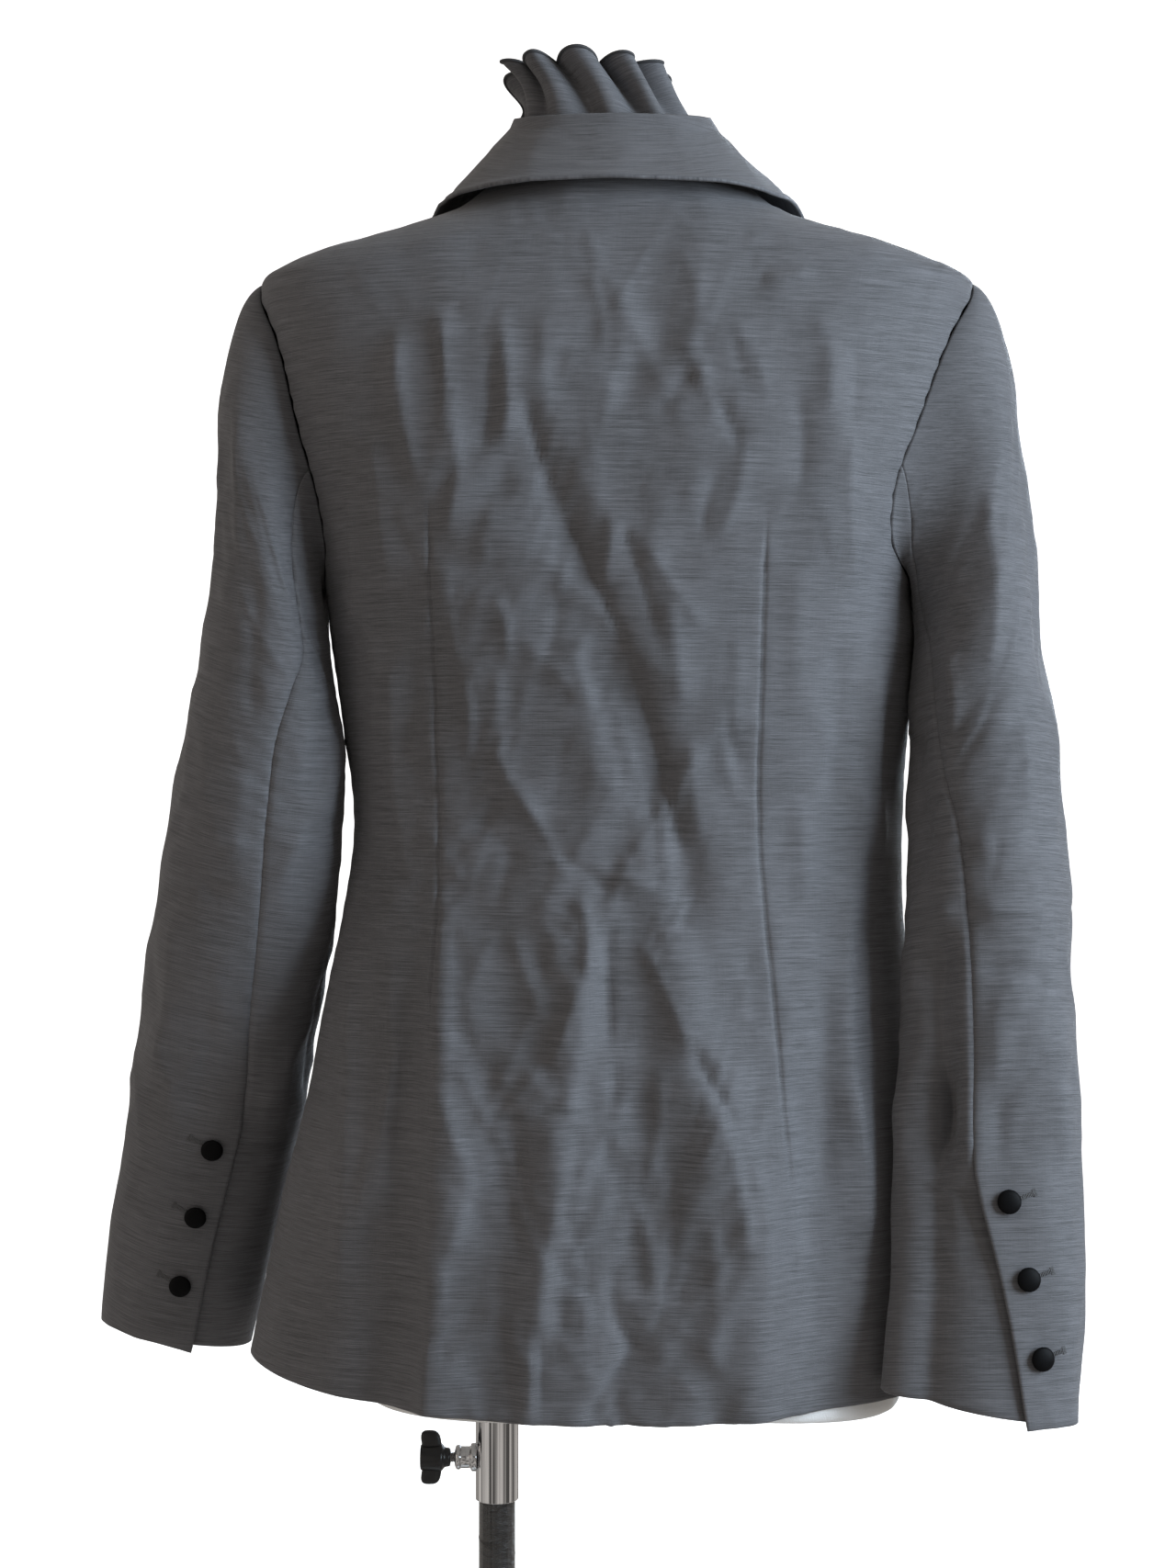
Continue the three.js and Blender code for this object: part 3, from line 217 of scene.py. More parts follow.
FRONT_CREASES = table(
    CREASE_COLUMNS,
    (140, 450, 120, 400, 96, 372, 7, 1.8, 0), (148, 410, 124, 380, 100, 340, 7, -1.6, 0),
    (128, 360, 104, 330, 70, 318, 7, 1.7, 0), (150, 330, 126, 300, 92, 296, 8, 1.5, 0),
    (-142, 452, -118, 410, -92, 376, 7, 1.9, 0), (-150, 400, -122, 372, -100, 330, 7, -1.6, 0),
    (-130, 352, -100, 330, -60, 322, 7, 1.7, 0), (-146, 320, -120, 296, -70, 290, 8, 1.4, 0),
    (92, 250, 100, 180, 90, 100, 9, 1.8, 0), (124, 240, 132, 160, 140, 40, 10, 1.8, 0),
    (-84, 250, -92, 170, -86, 80, 9, 1.8, 0), (-128, 236, -136, 150, -146, 40, 10, 1.8, 0),
    (20, 200, 28, 150, 22, 90, 9, 1.2, 0), (-10, 180, -20, 130, -12, 60, 9, -1.2, 0),
    (-52, 180, -44, 120, -56, 40, 8, 1.3, 0), (60, 170, 56, 110, 66, 30, 9, -1.3, 0),
    (150, 560, 130, 520, 120, 480, 8, 1.4, 0), (-150, 556, -128, 520, -120, 476, 8, 1.4, 0),
    (110, 480, 120, 450, 96, 420, 8, 1.3, 0), (-100, 300, -60, 270, -20, 268, 6, 1.2, 0),
    (40, 300, 10, 280, -20, 284, 6, -1.1, 0), (30, 90, 34, 50, 24, 0, 9, 1.2, 0))

# The same for the sleeves, in millimetres round the arm from its outer line, and down it from the head.
LEFT_SLEEVE_CREASES = table(
    CREASE_COLUMNS,
    (20, 60, 26, 120, 16, 200, 9, 1.9, 0), (44, 40, 40, 90, 46, 150, 7, 1.6, 0),
    (-10, 90, 6, 180, -4, 280, 11, -2.0, 0), (60, 120, 54, 170, 62, 230, 7, -1.5, 0),
    (70, 250, 40, 282, 22, 300, 7, 2.0, 0.3), (78, 290, 46, 310, 10, 340, 7, 1.9, 0),
    (66, 330, 40, 336, 12, 366, 8, -1.7, 0), (96, 250, 88, 300, 74, 330, 7, 1.7, 0),
    (30, 350, 40, 400, 30, 470, 9, 1.8, 0), (4, 360, -4, 430, 10, 520, 11, 2.0, 0),
    (56, 400, 64, 440, 56, 490, 8, -1.4, 0), (-30, 240, -20, 320, -34, 400, 11, 1.9, 0),
    (120, 160, 112, 230, 96, 270, 9, 1.9, 0), (130, 330, 116, 400, 124, 470, 9, -1.6, 0),
    (-60, 120, -52, 200, -64, 290, 11, 1.8, 0), (-80, 320, -60, 360, -40, 380, 9, -1.8, 0),
    (-90, 250, -66, 286, -50, 290, 8, 2.0, 0), (104, 400, 98, 470, 106, 560, 9, 1.4, 0))
RIGHT_SLEEVE_CREASES = table(
    CREASE_COLUMNS,
    (96, 110, 78, 160, 92, 230, 8, 2.4, 0.3), (60, 60, 52, 120, 64, 190, 8, 1.9, 0),
    (24, 90, 30, 180, 18, 260, 11, -2.0, 0), (112, 150, 118, 210, 104, 270, 8, -2.0, 0),
    (100, 270, 70, 300, 40, 310, 7, 2.2, 0.3), (104, 320, 76, 334, 36, 356, 7, 2.2, 0),
    (90, 370, 60, 372, 30, 400, 8, -1.9, 0), (122, 290, 110, 340, 116, 400, 8, 1.8, 0),
    (70, 390, 62, 440, 74, 500, 9, 1.9, 0), (30, 400, 36, 470, 24, 560, 11, 2.0, 0),
    (0, 200, -8, 300, 4, 400, 12, 1.8, 0), (-40, 150, -30, 240, -44, 330, 11, 1.8, 0),
    (128, 430, 120, 500, 130, 570, 9, 1.4, 0), (-80, 300, -56, 340, -30, 350, 9, 2.0, 0),
    (-70, 380, -46, 400, -20, 440, 9, -1.8, 0), (48, 230, 40, 260, 50, 300, 7, 1.4, 0),
    (84, 200, 70, 214, 46, 240, 6, 1.5, 0), (-100, 200, -84, 260, -96, 340, 9, 1.6, 0),
    (96, 330, 99, 400, 95, 490, 16, -6, -0.5),
    (94, 420, 99, 520, 94, 720, 19, -14, -0.5), (84, 420, 86, 500, 80, 560, 6, 2.2, 0.3))

# The darts' distance from the centre back at each height, and of the front's.
DARTS = table(
    "height right left",
    (0, -101, 107), (123, -93, 104), (194, -87, 102), (257, -81, 100.5), (320, -76.5, 99),
    (475, -79, 103), (540, -80, 100), (600, -78, 88), (640, -72, 72), (661, -56, 56), (692, -34, 34))
DART_ENDS = {"right": (124, 478), "left": (214, 492)}
FRONT_DARTS = table(
    "height out",
    (0, 112), (110, 106), (200, 98), (320, 92), (450, 100), (540, 106), (600, 100), (640, 92),
    (661, 84), (692, 66))
FRONT_DART_ENDS = (116, 470)

HIPS = table(
    "height width back front shift square",
    (-7, 138, 94, 94, -8, 0.16), (-4, 149, 103, 104, -8, 0.16), (8, 155, 105, 110, -8, 0.13),
    (55, 163, 108, 110, -6, 0.06), (104, 168, 105, 108, -4, 0.03), (157, 163, 97, 101, -3, 0.03),
    (210, 153, 87, 94, -3, 0.03), (264, 146, 78, 89, -4, 0.03), (318, 142, 74, 86, -5, 0.03),
    (371, 147, 80, 93, -4, 0.03), (425, 153, 89, 104, -2, 0.04))
SHOULDERS = table(
    "height ease",
    (470, 10), (520, 11), (565, 11), (602, 10), (622, 9), (634, 5.5), (645, 3.1), (659, 2.9), (671, 3.4))
NECK = table(
    "height width back front",
    (688, 57, 43, 44), (697, 45, 36, 42), (706, 42, 34, 40), (709, 37, 30, 35))


# ---- reading tables and shaping surfaces ----
def smooth(value, low, high):
    """0 below low, 1 above high and a soft step between."""
    t = np.clip((value - low) / (high - low), 0, 1)
    return t * t * (3 - 2 * t)


def lerp(a, b, t):
    """The value between a and b at t."""
    return a + (b - a) * t


def read(rows, column, value, key="height"):
    """A table's column at any value of its key, as a smooth curve through the rows."""
    keys, values = rows[key], rows[column]
    last = len(keys) - 1
    order = np.arange(last + 1)
    low, high = np.maximum(order - 1, 0), np.minimum(order + 1, last)
    slope = (values[high] - values[low]) / (keys[high] - keys[low])
    at = np.clip(value, keys[0], keys[-1])
    i = np.clip(np.searchsorted(keys, at) - 1, 0, last - 1)
    span = keys[i + 1] - keys[i]
    t = (at - keys[i]) / span
    rise = t * t * (3 - 2 * t)
    bow = t * (1 - t) * span
    return lerp(values[i], values[i + 1], rise) + bow * ((1 - t) * slope[i] - t * slope[i + 1])


def unit(v):
    """Vectors scaled to length 1."""
    return v / np.maximum(np.linalg.norm(v, axis=-1, keepdims=True), 1e-9)


def stack(x, y, z):
    """Points from their coordinates."""
    return np.stack(np.broadcast_arrays(x, y, z), axis=-1).astype(float)


def oval(width, back, front, shift, square, turn, height):
    """Points on an oval, turned from the centre back towards the wearer's left."""
    a = np.radians(turn)
    swell = 1 + square * np.sin(2 * a) ** 2
    depth = np.where(np.cos(a) > 0, back, front)
    return stack(shift + width * np.sin(a) * swell, depth * np.cos(a) * swell, height)


def bare_torso(turn, height):
    """Points on the outside of the cloth's torso."""
    sizes = [read(TORSO, name, height) for name in ("width", "back", "front", "shift", "square")]
    return oval(*sizes, turn, height)


def torso_normal(turn, height):
    """The torso's outward direction."""
    along = bare_torso(turn + 1, height) - bare_torso(turn - 1, height)
    up = bare_torso(turn, np.minimum(height + 3, NECK_HEIGHT)) - bare_torso(turn, np.maximum(height - 3, 0))
    return unit(np.cross(up, along))


def turn_at(x, height, low, high):
    """The turn between low and high at which the torso passes x."""
    low = np.full(np.broadcast(x, height).shape, float(low))
    high = np.full(low.shape, float(high))
    rising = bare_torso(high, height)[..., 0] > bare_torso(low, height)[..., 0]
    for _ in range(26):
        middle = (low + high) / 2
        upper = (bare_torso(middle, height)[..., 0] < x) == rising
        low = np.where(upper, middle, low)
        high = np.where(upper, high, middle)
    return (low + high) / 2


def curve_distance(row, x, z, stretch=1.0):
    """Distance from a crease's curve, the share along it, and the side that a point lies on."""
    t = np.linspace(0, 1, 15)
    px = (1 - t) ** 2 * row["startX"] + 2 * t * (1 - t) * row["bendX"] + t * t * row["endX"]
    pz = (1 - t) ** 2 * row["startZ"] + 2 * t * (1 - t) * row["bendZ"] + t * t * row["endZ"]
    best = np.full(x.shape, 1e12)
    share = np.zeros(x.shape)
    side = np.zeros(x.shape)
    for i in range(len(t) - 1):
        dx, dz = px[i + 1] - px[i], pz[i + 1] - pz[i]
        k = np.clip(((x - px[i]) * dx + (z - pz[i]) * dz) / (dx * dx + dz * dz), 0, 1)
        off_x, off_z = x - px[i] - k * dx, z - pz[i] - k * dz
        distance = off_x ** 2 + stretch * off_z ** 2
        nearer = distance < best
        best = np.where(nearer, distance, best)
        share = np.where(nearer, t[i] + k / (len(t) - 1), share)
        side = np.where(nearer, np.sign(off_x), side)
    return np.sqrt(best), share, side


def rows_of(rows):
    """Each row of a table as a dictionary."""
    names = list(rows)
    return [dict(zip(names, values)) for values in zip(*rows.values())]


def fold_lift(folds, x, z):
    """The largest folds, which the solid model has too."""
    lift = np.zeros(x.shape)
    for row in rows_of(folds):
        distance, share, side = curve_distance(row, x, z, 0.15)
        width = row["width"] * (1 + 0.6 * row["lean"] * side)
        lift += row["height"] * np.exp(-(distance / width) ** 2) * smooth(share, 0, 0.3)
    return lift


def crease_lift(creases, x, z):
    """The finer creases, each with a soft crest and two straight flanks."""
    lift = np.zeros(x.shape)
    for row in rows_of(creases):
        distance, share, side = curve_distance(row, x, z)
        width = 0.85 * row["width"] * (1 + 0.6 * row["lean"] * side)
        crest = 0.16 * width
        profile = np.exp(-(np.sqrt(distance ** 2 + crest ** 2) - crest) / width)
        lift += row["height"] * profile * smooth(share, 0, 0.25) * smooth(1 - share, 0, 0.25)
    return lift


def wander(u, v, seed):
    """A smooth uneven value between -1 and 1, a cell to each unit of u and v."""
    cells = np.random.RandomState(seed).uniform(-1, 1, (64, 64))
    iu, iv = np.floor(u).astype(int), np.floor(v).astype(int)
    fu, fv = smooth(u - iu, 0, 1), smooth(v - iv, 0, 1)
    iu, iv = iu % 63, iv % 63
    low = lerp(cells[iu, iv], cells[iu + 1, iv], fu)
    high = lerp(cells[iu, iv + 1], cells[iu + 1, iv + 1], fu)
    return lerp(low, high, fv)


def rumple(x, z, seed):
    """The small unevenness of worn suiting: slanting ridges of four sizes."""
    lift = np.zeros(np.broadcast(x, z).shape)
    for size, height, slant in ((52, 1.7, 0.3), (44, 1.5, -0.4), (26, 1.1, 0.5), (22, 1.0, -0.35), (13, 0.45, 0.3)):
        u, v = (x + slant * z) / size, z / size / 2.0
        bend = 0.7 * wander(u * 0.8 + 9, v * 0.9 + 4, seed + 1)
        ridge = np.sqrt(wander(u + bend, v, seed) ** 2 + 0.002)
        lift += height * (0.5 - ridge) * 1.5
        seed += 7
    return lift


def pucker(distance, along, pitch, height, reach, seed):
    """Small gathers beside a seam."""
    uneven = 1 + 0.6 * wander(along / 37, np.zeros_like(along) + 3, seed)
    return height * uneven * np.sin(2 * np.pi * along / pitch + 2 * wander(along / 29, along * 0 + 5, seed + 1)) * (
        np.exp(-np.maximum(distance, 0) / reach))


def seam_dip(distance):
    """Cloth rolls in where it is sewn."""
    return -1.3 * np.exp(-(np.maximum(distance, 0) / 1.5) ** 2)


# ---- meshes ----
def to_metres(points):
    """Garment millimetres as metres in the row frame."""
    return (np.asarray(points) + GARMENT_ORIGIN) / 1000


def make_piece(name, points, faces, material, body="form", uv=None):
    """A mesh object from points in metres, which rides on a body."""
    mesh = bpy.data.meshes.new(name)
    mesh.from_pydata([tuple(p) for p in np.asarray(points).reshape(-1, 3).tolist()], [], faces)
    mesh.polygons.foreach_set("use_smooth", np.ones(len(mesh.polygons), dtype=bool))
    if uv is not None:
        layer = mesh.uv_layers.new(name="cloth")
        corners = np.empty(len(mesh.loops), dtype=np.int32)
        mesh.loops.foreach_get("vertex_index", corners)
        layer.data.foreach_set("uv", np.asarray(uv, dtype=np.float32).reshape(-1, 2)[corners].ravel())
    mesh.materials.append(material)
    mesh.update()
    piece = bpy.data.objects.new(name, mesh)
    bpy.context.collection.objects.link(piece)
    if body:
        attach(piece, body)
    return piece


def grid_normals(grid, outward):
    """Directions square to a grid of points, on the side of the reference directions."""
    normals = unit(np.cross(np.gradient(grid, axis=1), np.gradient(grid, axis=0)))
    facing = np.sign(np.sum(normals * outward))
    return normals * (facing if facing else 1)


def shell(grid, normals, thickness):
    """Points and faces of a sheet with an outer and an inner side and a rounded lip all round."""
    rows, columns = grid.shape[:2]
    count = rows * columns
    number = np.arange(count).reshape(rows, columns)
    inner = grid - normals * thickness
    ring = np.concatenate([number[0, :-1], number[:-1, -1], number[-1, :0:-1], number[:0:-1, 0]])
    out_rows = np.zeros_like(grid)
    out_rows[0], out_rows[-1] = grid[0] - grid[1], grid[-1] - grid[-2]
    out_columns = np.zeros_like(grid)
    out_columns[:, 0], out_columns[:, -1] = grid[:, 0] - grid[:, 1], grid[:, -1] - grid[:, -2]
    outward = unit(unit(out_rows) + unit(out_columns)).reshape(-1, 3)[ring]
    lip = (grid.reshape(-1, 3)[ring] + inner.reshape(-1, 3)[ring]) / 2 + outward * thickness * 0.4
    a = number[:-1, :-1].ravel()
    outer_faces = np.stack([a, a + 1, a + 1 + columns, a + columns], axis=1)
    i, j = ring, np.roll(ring, -1)
    m = 2 * count + np.arange(len(ring))
    n = np.roll(m, -1)
    faces = np.concatenate([
        outer_faces, outer_faces[:, ::-1] + count,
        np.stack([j, i, m, n], axis=1), np.stack([n, m, i + count, j + count], axis=1)])
    facing = np.cross(grid[0, 1] - grid[0, 0], grid[1, 0] - grid[0, 0]) @ normals[0, 0]
    if facing < 0:
        faces = faces[:, ::-1]
    points = np.concatenate([grid.reshape(-1, 3), inner.reshape(-1, 3), lip])
    return points, faces.tolist(), ring


def cloth_lengths(grid):
    """Running lengths along a grid's rows, measured from the middle column, and up its columns."""
    across = np.linalg.norm(np.diff(grid, axis=1), axis=2)
    u = np.concatenate([np.zeros((len(grid), 1)), np.cumsum(across, axis=1)], axis=1)
    u -= u[:, grid.shape[1] // 2, None]
    up = np.linalg.norm(np.diff(grid, axis=0), axis=2)
    v = np.concatenate([np.zeros((1, grid.shape[1])), np.cumsum(up, axis=0)])
    return u, v


def cloth_piece(name, grid, outward, thickness, node, seed=0, grain=None):
    """A sheet of suiting over its solid: its mesh, thread directions, cut and node."""
    normals = grid_normals(grid, outward)
    points, faces, ring = shell(grid, normals, thickness)
    u, v = cloth_lengths(grid)
    threads = np.stack([u, v] if grain is None else grain, axis=-1).reshape(-1, 2) / 1000 + seed * 0.37
    threads = np.concatenate([threads, threads, threads[ring]])
    piece = make_piece(name, to_metres(points), faces, suiting(), uv=threads)
    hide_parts(node)
    return piece


def path_mesh(name, points):
    """A mesh of edges only, through points in metres."""
    mesh = bpy.data.meshes.new(name)
    mesh.from_pydata([tuple(p) for p in points], [(i, i + 1) for i in range(len(points) - 1)], [])
    return mesh


def soft_corners(profile, size):
    """A turned outline with each corner off the axis rounded by a size."""
    made = [profile[0]]
    for before, corner, after in zip(profile, profile[1:], profile[2:]):
        b, c, a = np.array(before, float), np.array(corner, float), np.array(after, float)
        reach = min(size, np.linalg.norm(b - c) * 0.45, np.linalg.norm(a - c) * 0.45)
        start, end = c + unit(b - c) * reach, c + unit(a - c) * reach
        for t in (0, 0.33, 0.67, 1):
            made.append(tuple((1 - t) ** 2 * start + 2 * t * (1 - t) * c + t * t * end))
    return made + [profile[-1]]


def turned_faces(profile, sides):
    """Points and faces of an outline of (radius, height) turned about the Z axis."""
    points, faces, rings = [], [], []
    angles = np.linspace(0, 2 * np.pi, sides, endpoint=False)
    for radius, height in profile:
        if radius < 1e-6:
            rings.append([len(points)] * sides)
            points.append((0, 0, height))
        else:
            rings.append(list(range(len(points), len(points) + sides)))
            points += [(radius * math.cos(a), radius * math.sin(a), height) for a in angles]
    for low, high in zip(rings, rings[1:]):
        for i in range(sides):
            j = (i + 1) % sides
            corners = list(dict.fromkeys([low[i], low[j], high[j], high[i]]))
            if len(corners) > 2:
                faces.append(corners)
    return np.array(points, float), faces


def looking_along(points, direction):
    """Points turned so that their Z axis looks along a direction."""
    turn = Vector((0, 0, 1)).rotation_difference(Vector(direction)).to_matrix()
    return points @ np.array(turn).T


def finish_piece(piece, node, crisp=40):
    """Says which solid and which material slot a hard piece stands for, and keeps its edges crisp."""
    piece.data.set_sharp_from_angle(angle=math.radians(crisp))
    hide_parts(node)
    return piece


def turned_piece(name, profile, sides, material, body, node, at=(0, 0, 0), along=(0, 0, 1), corner=0.6):
    """A hard piece turned from an outline, set at a place in the garment's frame."""
    points, faces = turned_faces(soft_corners(profile, corner), sides)
    points = looking_along(points, along) + np.array(at)
    piece = make_piece(name, to_metres(points), faces, material, body)
    return finish_piece(piece, node)


# ---- geometry nodes ----
def new_tree(name, **sizes):
    """A geometry tree with a named input for each size, and its group input."""
    tree = bpy.data.node_groups.new(name, "GeometryNodeTree")
    tree.interface.new_socket("Geometry", in_out="INPUT", socket_type="NodeSocketGeometry")
    tree.interface.new_socket("Geometry", in_out="OUTPUT", socket_type="NodeSocketGeometry")
    for label, value in sizes.items():
        kind = "NodeSocketMaterial" if value is None else (
            "NodeSocketVector" if isinstance(value, tuple) else "NodeSocketFloat")
        socket = tree.interface.new_socket(label.replace("_", " "), in_out="INPUT", socket_type=kind)
        if value is not None:
            socket.default_value = value
    return tree, tree.nodes.new("NodeGroupInput").outputs


def add_node(tree, kind, links=None, **settings):
    """A node with its properties set and its inputs linked or given values."""
    made = tree.nodes.new(kind)
    for key, value in settings.items():
        setattr(made, key, value)
    for key, value in (links or {}).items():
        if isinstance(value, bpy.types.NodeSocket):
            tree.links.new(value, made.inputs[key])
        else:
            made.inputs[key].default_value = value
    return made


def close_tree(tree, geometry, material):
    """The tree's last nodes: instances made real and the material set."""
    real = add_node(tree, "GeometryNodeRealizeInstances", {"Geometry": geometry})
    painted = add_node(tree, "GeometryNodeSetMaterial", {"Geometry": real.outputs[0], "Material": material})
    out = tree.nodes.new("NodeGroupOutput")
    tree.links.new(painted.outputs[0], out.inputs[0])
    return tree


def stitches_tree():
    """Short threads across a path, a pitch apart, lying on the cloth."""
    tree, inputs = new_tree(
        "Stitches across a path", Pitch=0.0008, Thread_radius=0.00025, Stitch_length=0.002,
        Cloth_normal=(0.0, 0.0, 1.0), Thread=None)
    curve = add_node(tree, "GeometryNodeMeshToCurve", {"Mesh": inputs["Geometry"]})
    spaced = add_node(tree, "GeometryNodeResampleCurve", {
        "Curve": curve.outputs[0], "Length": inputs["Pitch"]}, mode="LENGTH")
    tangent = tree.nodes.new("GeometryNodeInputTangent")
    turn = add_node(tree, "FunctionNodeAxesToRotation", {
        "Primary Axis": inputs["Cloth normal"], "Secondary Axis": tangent.outputs[0]})
    half = add_node(tree, "ShaderNodeMath", {0: inputs["Stitch length"], 1: 0.5}, operation="MULTIPLY")
    other = add_node(tree, "ShaderNodeMath", {0: half.outputs[0], 1: -1.0}, operation="MULTIPLY")
    start = add_node(tree, "ShaderNodeCombineXYZ", {"Y": other.outputs[0]})
    end = add_node(tree, "ShaderNodeCombineXYZ", {"Y": half.outputs[0]})
    line = add_node(tree, "GeometryNodeCurvePrimitiveLine", {"Start": start.outputs[0], "End": end.outputs[0]})
    ring = add_node(tree, "GeometryNodeCurvePrimitiveCircle", {
        "Resolution": 6, "Radius": inputs["Thread radius"]})
    thread = add_node(tree, "GeometryNodeCurveToMesh", {
        "Curve": line.outputs[0], "Profile Curve": ring.outputs[0], "Fill Caps": True})
    placed = add_node(tree, "GeometryNodeInstanceOnPoints", {
        "Points": spaced.outputs[0], "Instance": thread.outputs[0], "Rotation": turn.outputs[0]})
    return close_tree(tree, placed.outputs[0], inputs["Thread"])


def cord_tree():
    """A round roll of cloth or thread along a path."""
    tree, inputs = new_tree("Roll along a path", Radius=0.001, Cloth=None)
    curve = add_node(tree, "GeometryNodeMeshToCurve", {"Mesh": inputs["Geometry"]})
    ring = add_node(tree, "GeometryNodeCurvePrimitiveCircle", {"Resolution": 8, "Radius": inputs["Radius"]})
    roll = add_node(tree, "GeometryNodeCurveToMesh", {
        "Curve": curve.outputs[0], "Profile Curve": ring.outputs[0], "Fill Caps": True})
    smooth_roll = add_node(tree, "GeometryNodeSetShadeSmooth", {"Geometry": roll.outputs[0]})
    return close_tree(tree, smooth_roll.outputs[0], inputs["Cloth"])


def film_tree():
    """The raised edge of a film wound round the pole in even turns."""
    tree, inputs = new_tree("Film turns", Pole_radius=0.011, Turns=20.0, Height=0.5, Edge=0.0005, Film=None)
    spiral = add_node(tree, "GeometryNodeCurveSpiral", {
        "Resolution": 48, "Rotations": inputs["Turns"], "Start Radius": inputs["Pole radius"],
        "End Radius": inputs["Pole radius"], "Height": inputs["Height"]})
    ring = add_node(tree, "GeometryNodeCurvePrimitiveCircle", {"Resolution": 5, "Radius": inputs["Edge"]})
    roll = add_node(tree, "GeometryNodeCurveToMesh", {
        "Curve": spiral.outputs[0], "Profile Curve": ring.outputs[0], "Fill Caps": True})
    smooth_roll = add_node(tree, "GeometryNodeSetShadeSmooth", {"Geometry": roll.outputs[0]})
    return close_tree(tree, smooth_roll.outputs[0], inputs["Film"])


def grow(name, tree, points, body="form", **sizes):
    """A plain mesh grown by a tree from a path of points in metres."""
    piece = bpy.data.objects.new(name, path_mesh(name, points))
    bpy.context.collection.objects.link(piece)
    modifier = piece.modifiers.new(tree.name, "NODES")
    modifier.node_group = tree
    for item in tree.interface.items_tree:
        key = item.name.replace(" ", "_")
        if item.in_out == "INPUT" and key in sizes:
            modifier[item.identifier] = sizes[key]
    bpy.context.view_layer.update()
    graph = bpy.context.evaluated_depsgraph_get()
    mesh = bpy.data.meshes.new_from_object(piece.evaluated_get(graph))
    bpy.data.objects.remove(piece)
    grown = bpy.data.objects.new(name, mesh)
    bpy.context.collection.objects.link(grown)
    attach(grown, body)
    return grown


def joined(name, pieces):
    """Several plain meshes made one."""
    for piece in bpy.context.selected_objects:
        piece.select_set(False)
    for piece in pieces:
        piece.select_set(True)
    bpy.context.view_layer.objects.active = pieces[0]
    bpy.ops.object.join()
    pieces[0].name = name
    return pieces[0]


# ---- materials ----
def new_material(name, roughness, **values):
    """A material, its node tree and its shader."""
    material = bpy.data.materials.new(name)
    material.use_nodes = True
    shader = material.node_tree.nodes["Principled BSDF"]
    shader.inputs["Roughness"].default_value = roughness
    for key, value in values.items():
        shader.inputs[key.replace("_", " ")].default_value = value
    return material, material.node_tree, shader


def once(make):
    """A material is made the first time it is asked for."""
    kept = {}

    def get(*args):
        if args not in kept:
            kept[args] = make(*args)
        return kept[args]
    get.__doc__ = make.__doc__
    return get


def noise_on(tree, coordinates, scale, detail=3.0, roughness=0.55, distortion=0.0):
    """An uneven value over coordinates stretched by scale."""
    mapping = add_node(tree, "ShaderNodeMapping", {"Vector": coordinates, "Scale": scale})
    made = add_node(tree, "ShaderNodeTexNoise", {
        "Vector": mapping.outputs[0], "Scale": 1.0, "Detail": detail, "Roughness": roughness,
        "Distortion": distortion})
    return made.outputs[0]


def math_on(tree, operation, a, b):
    """One arithmetic step."""
    return add_node(tree, "ShaderNodeMath", {0: a, 1: b}, operation=operation).outputs[0]


def bump_on(tree, shader, height, distance, strength=1.0):
    """Relief from a height value."""
    bump = add_node(tree, "ShaderNodeBump", {"Height": height, "Distance": distance, "Strength": strength})
    tree.links.new(bump.outputs[0], shader.inputs["Normal"])


def mix_colours(tree, share, low, high):
    """A colour between two, by a share from 0 to 1."""
    mix = add_node(tree, "ShaderNodeMix", {0: share}, data_type="RGBA")
    mix.inputs[6].default_value = (*low, 1)
    mix.inputs[7].default_value = (*high, 1)
    return mix.outputs[2]


@once
def suiting(painted_shade_scale=1.0):
    """Grey mélange suiting with short uneven streaks along its weft."""
    sizes = bpy.context.scene.blazer_cloth
    material, tree, shader = new_material(
        "suiting" if painted_shade_scale == 1.0 else "suiting_edge", 0.66, Specular_IOR_Level=0.34, Sheen_Weight=0.12,
        Sheen_Roughness=0.45)
    threads = add_node(tree, "ShaderNodeUVMap", uv_map="cloth").outputs[0]
    along, across = 1 / sizes.streak_length, 1 / sizes.streak_width
    streak = noise_on(tree, threads, (along, across, 1), 4.0, 0.62)
    broad = noise_on(tree, threads, (along * 0.45, across * 0.36, 1), 3.0, 0.6)
    fine = noise_on(tree, threads, (along * 3.4, across * 2.3, 1), 2.0, 0.6)
    warp = noise_on(tree, threads, (across * 1.5, along * 1.8, 1), 2.0, 0.5)
    patch = noise_on(tree, threads, (9, 11, 1), 2.0, 0.5)
    total = math_on(tree, "MULTIPLY", streak, 1.5)
    for value, weight in ((broad, 0.5), (fine, 0.9), (warp, 0.22), (patch, 0.25)):
        total = math_on(tree, "ADD", total, math_on(tree, "MULTIPLY", value, weight))
    share = math_on(tree, "SUBTRACT", math_on(tree, "MULTIPLY", total, 1.6), 2.2)
    # Below 1 the thread colours are scaled down as painted shade.
    low = tuple(c * painted_shade_scale for c in sizes.dark_thread)
    high = tuple(c * painted_shade_scale for c in sizes.light_thread)
    clamped = add_node(tree, "ShaderNodeClamp", {"Value": share}).outputs[0]
    tree.links.new(mix_colours(tree, clamped, low, high), shader.inputs["Base Color"])
    bump_on(tree, shader, math_on(tree, "ADD", streak, math_on(tree, "MULTIPLY", fine, 0.8)), 0.00032)
    return material


@once
def thread():
    """Twisted sewing thread, a shade darker than the cloth."""
    material, tree, shader = new_material("thread", 0.6, Sheen_Weight=0.2)
    place = tree.nodes.new("ShaderNodeTexCoord").outputs["Object"]
    twist = noise_on(tree, place, (2500, 2500, 2500), 1.0)
    tree.links.new(mix_colours(tree, twist, (0.05, 0.05, 0.053), (0.12, 0.12, 0.125)), shader.inputs["Base Color"])
    bump_on(tree, shader, twist, 0.0001)
    return material


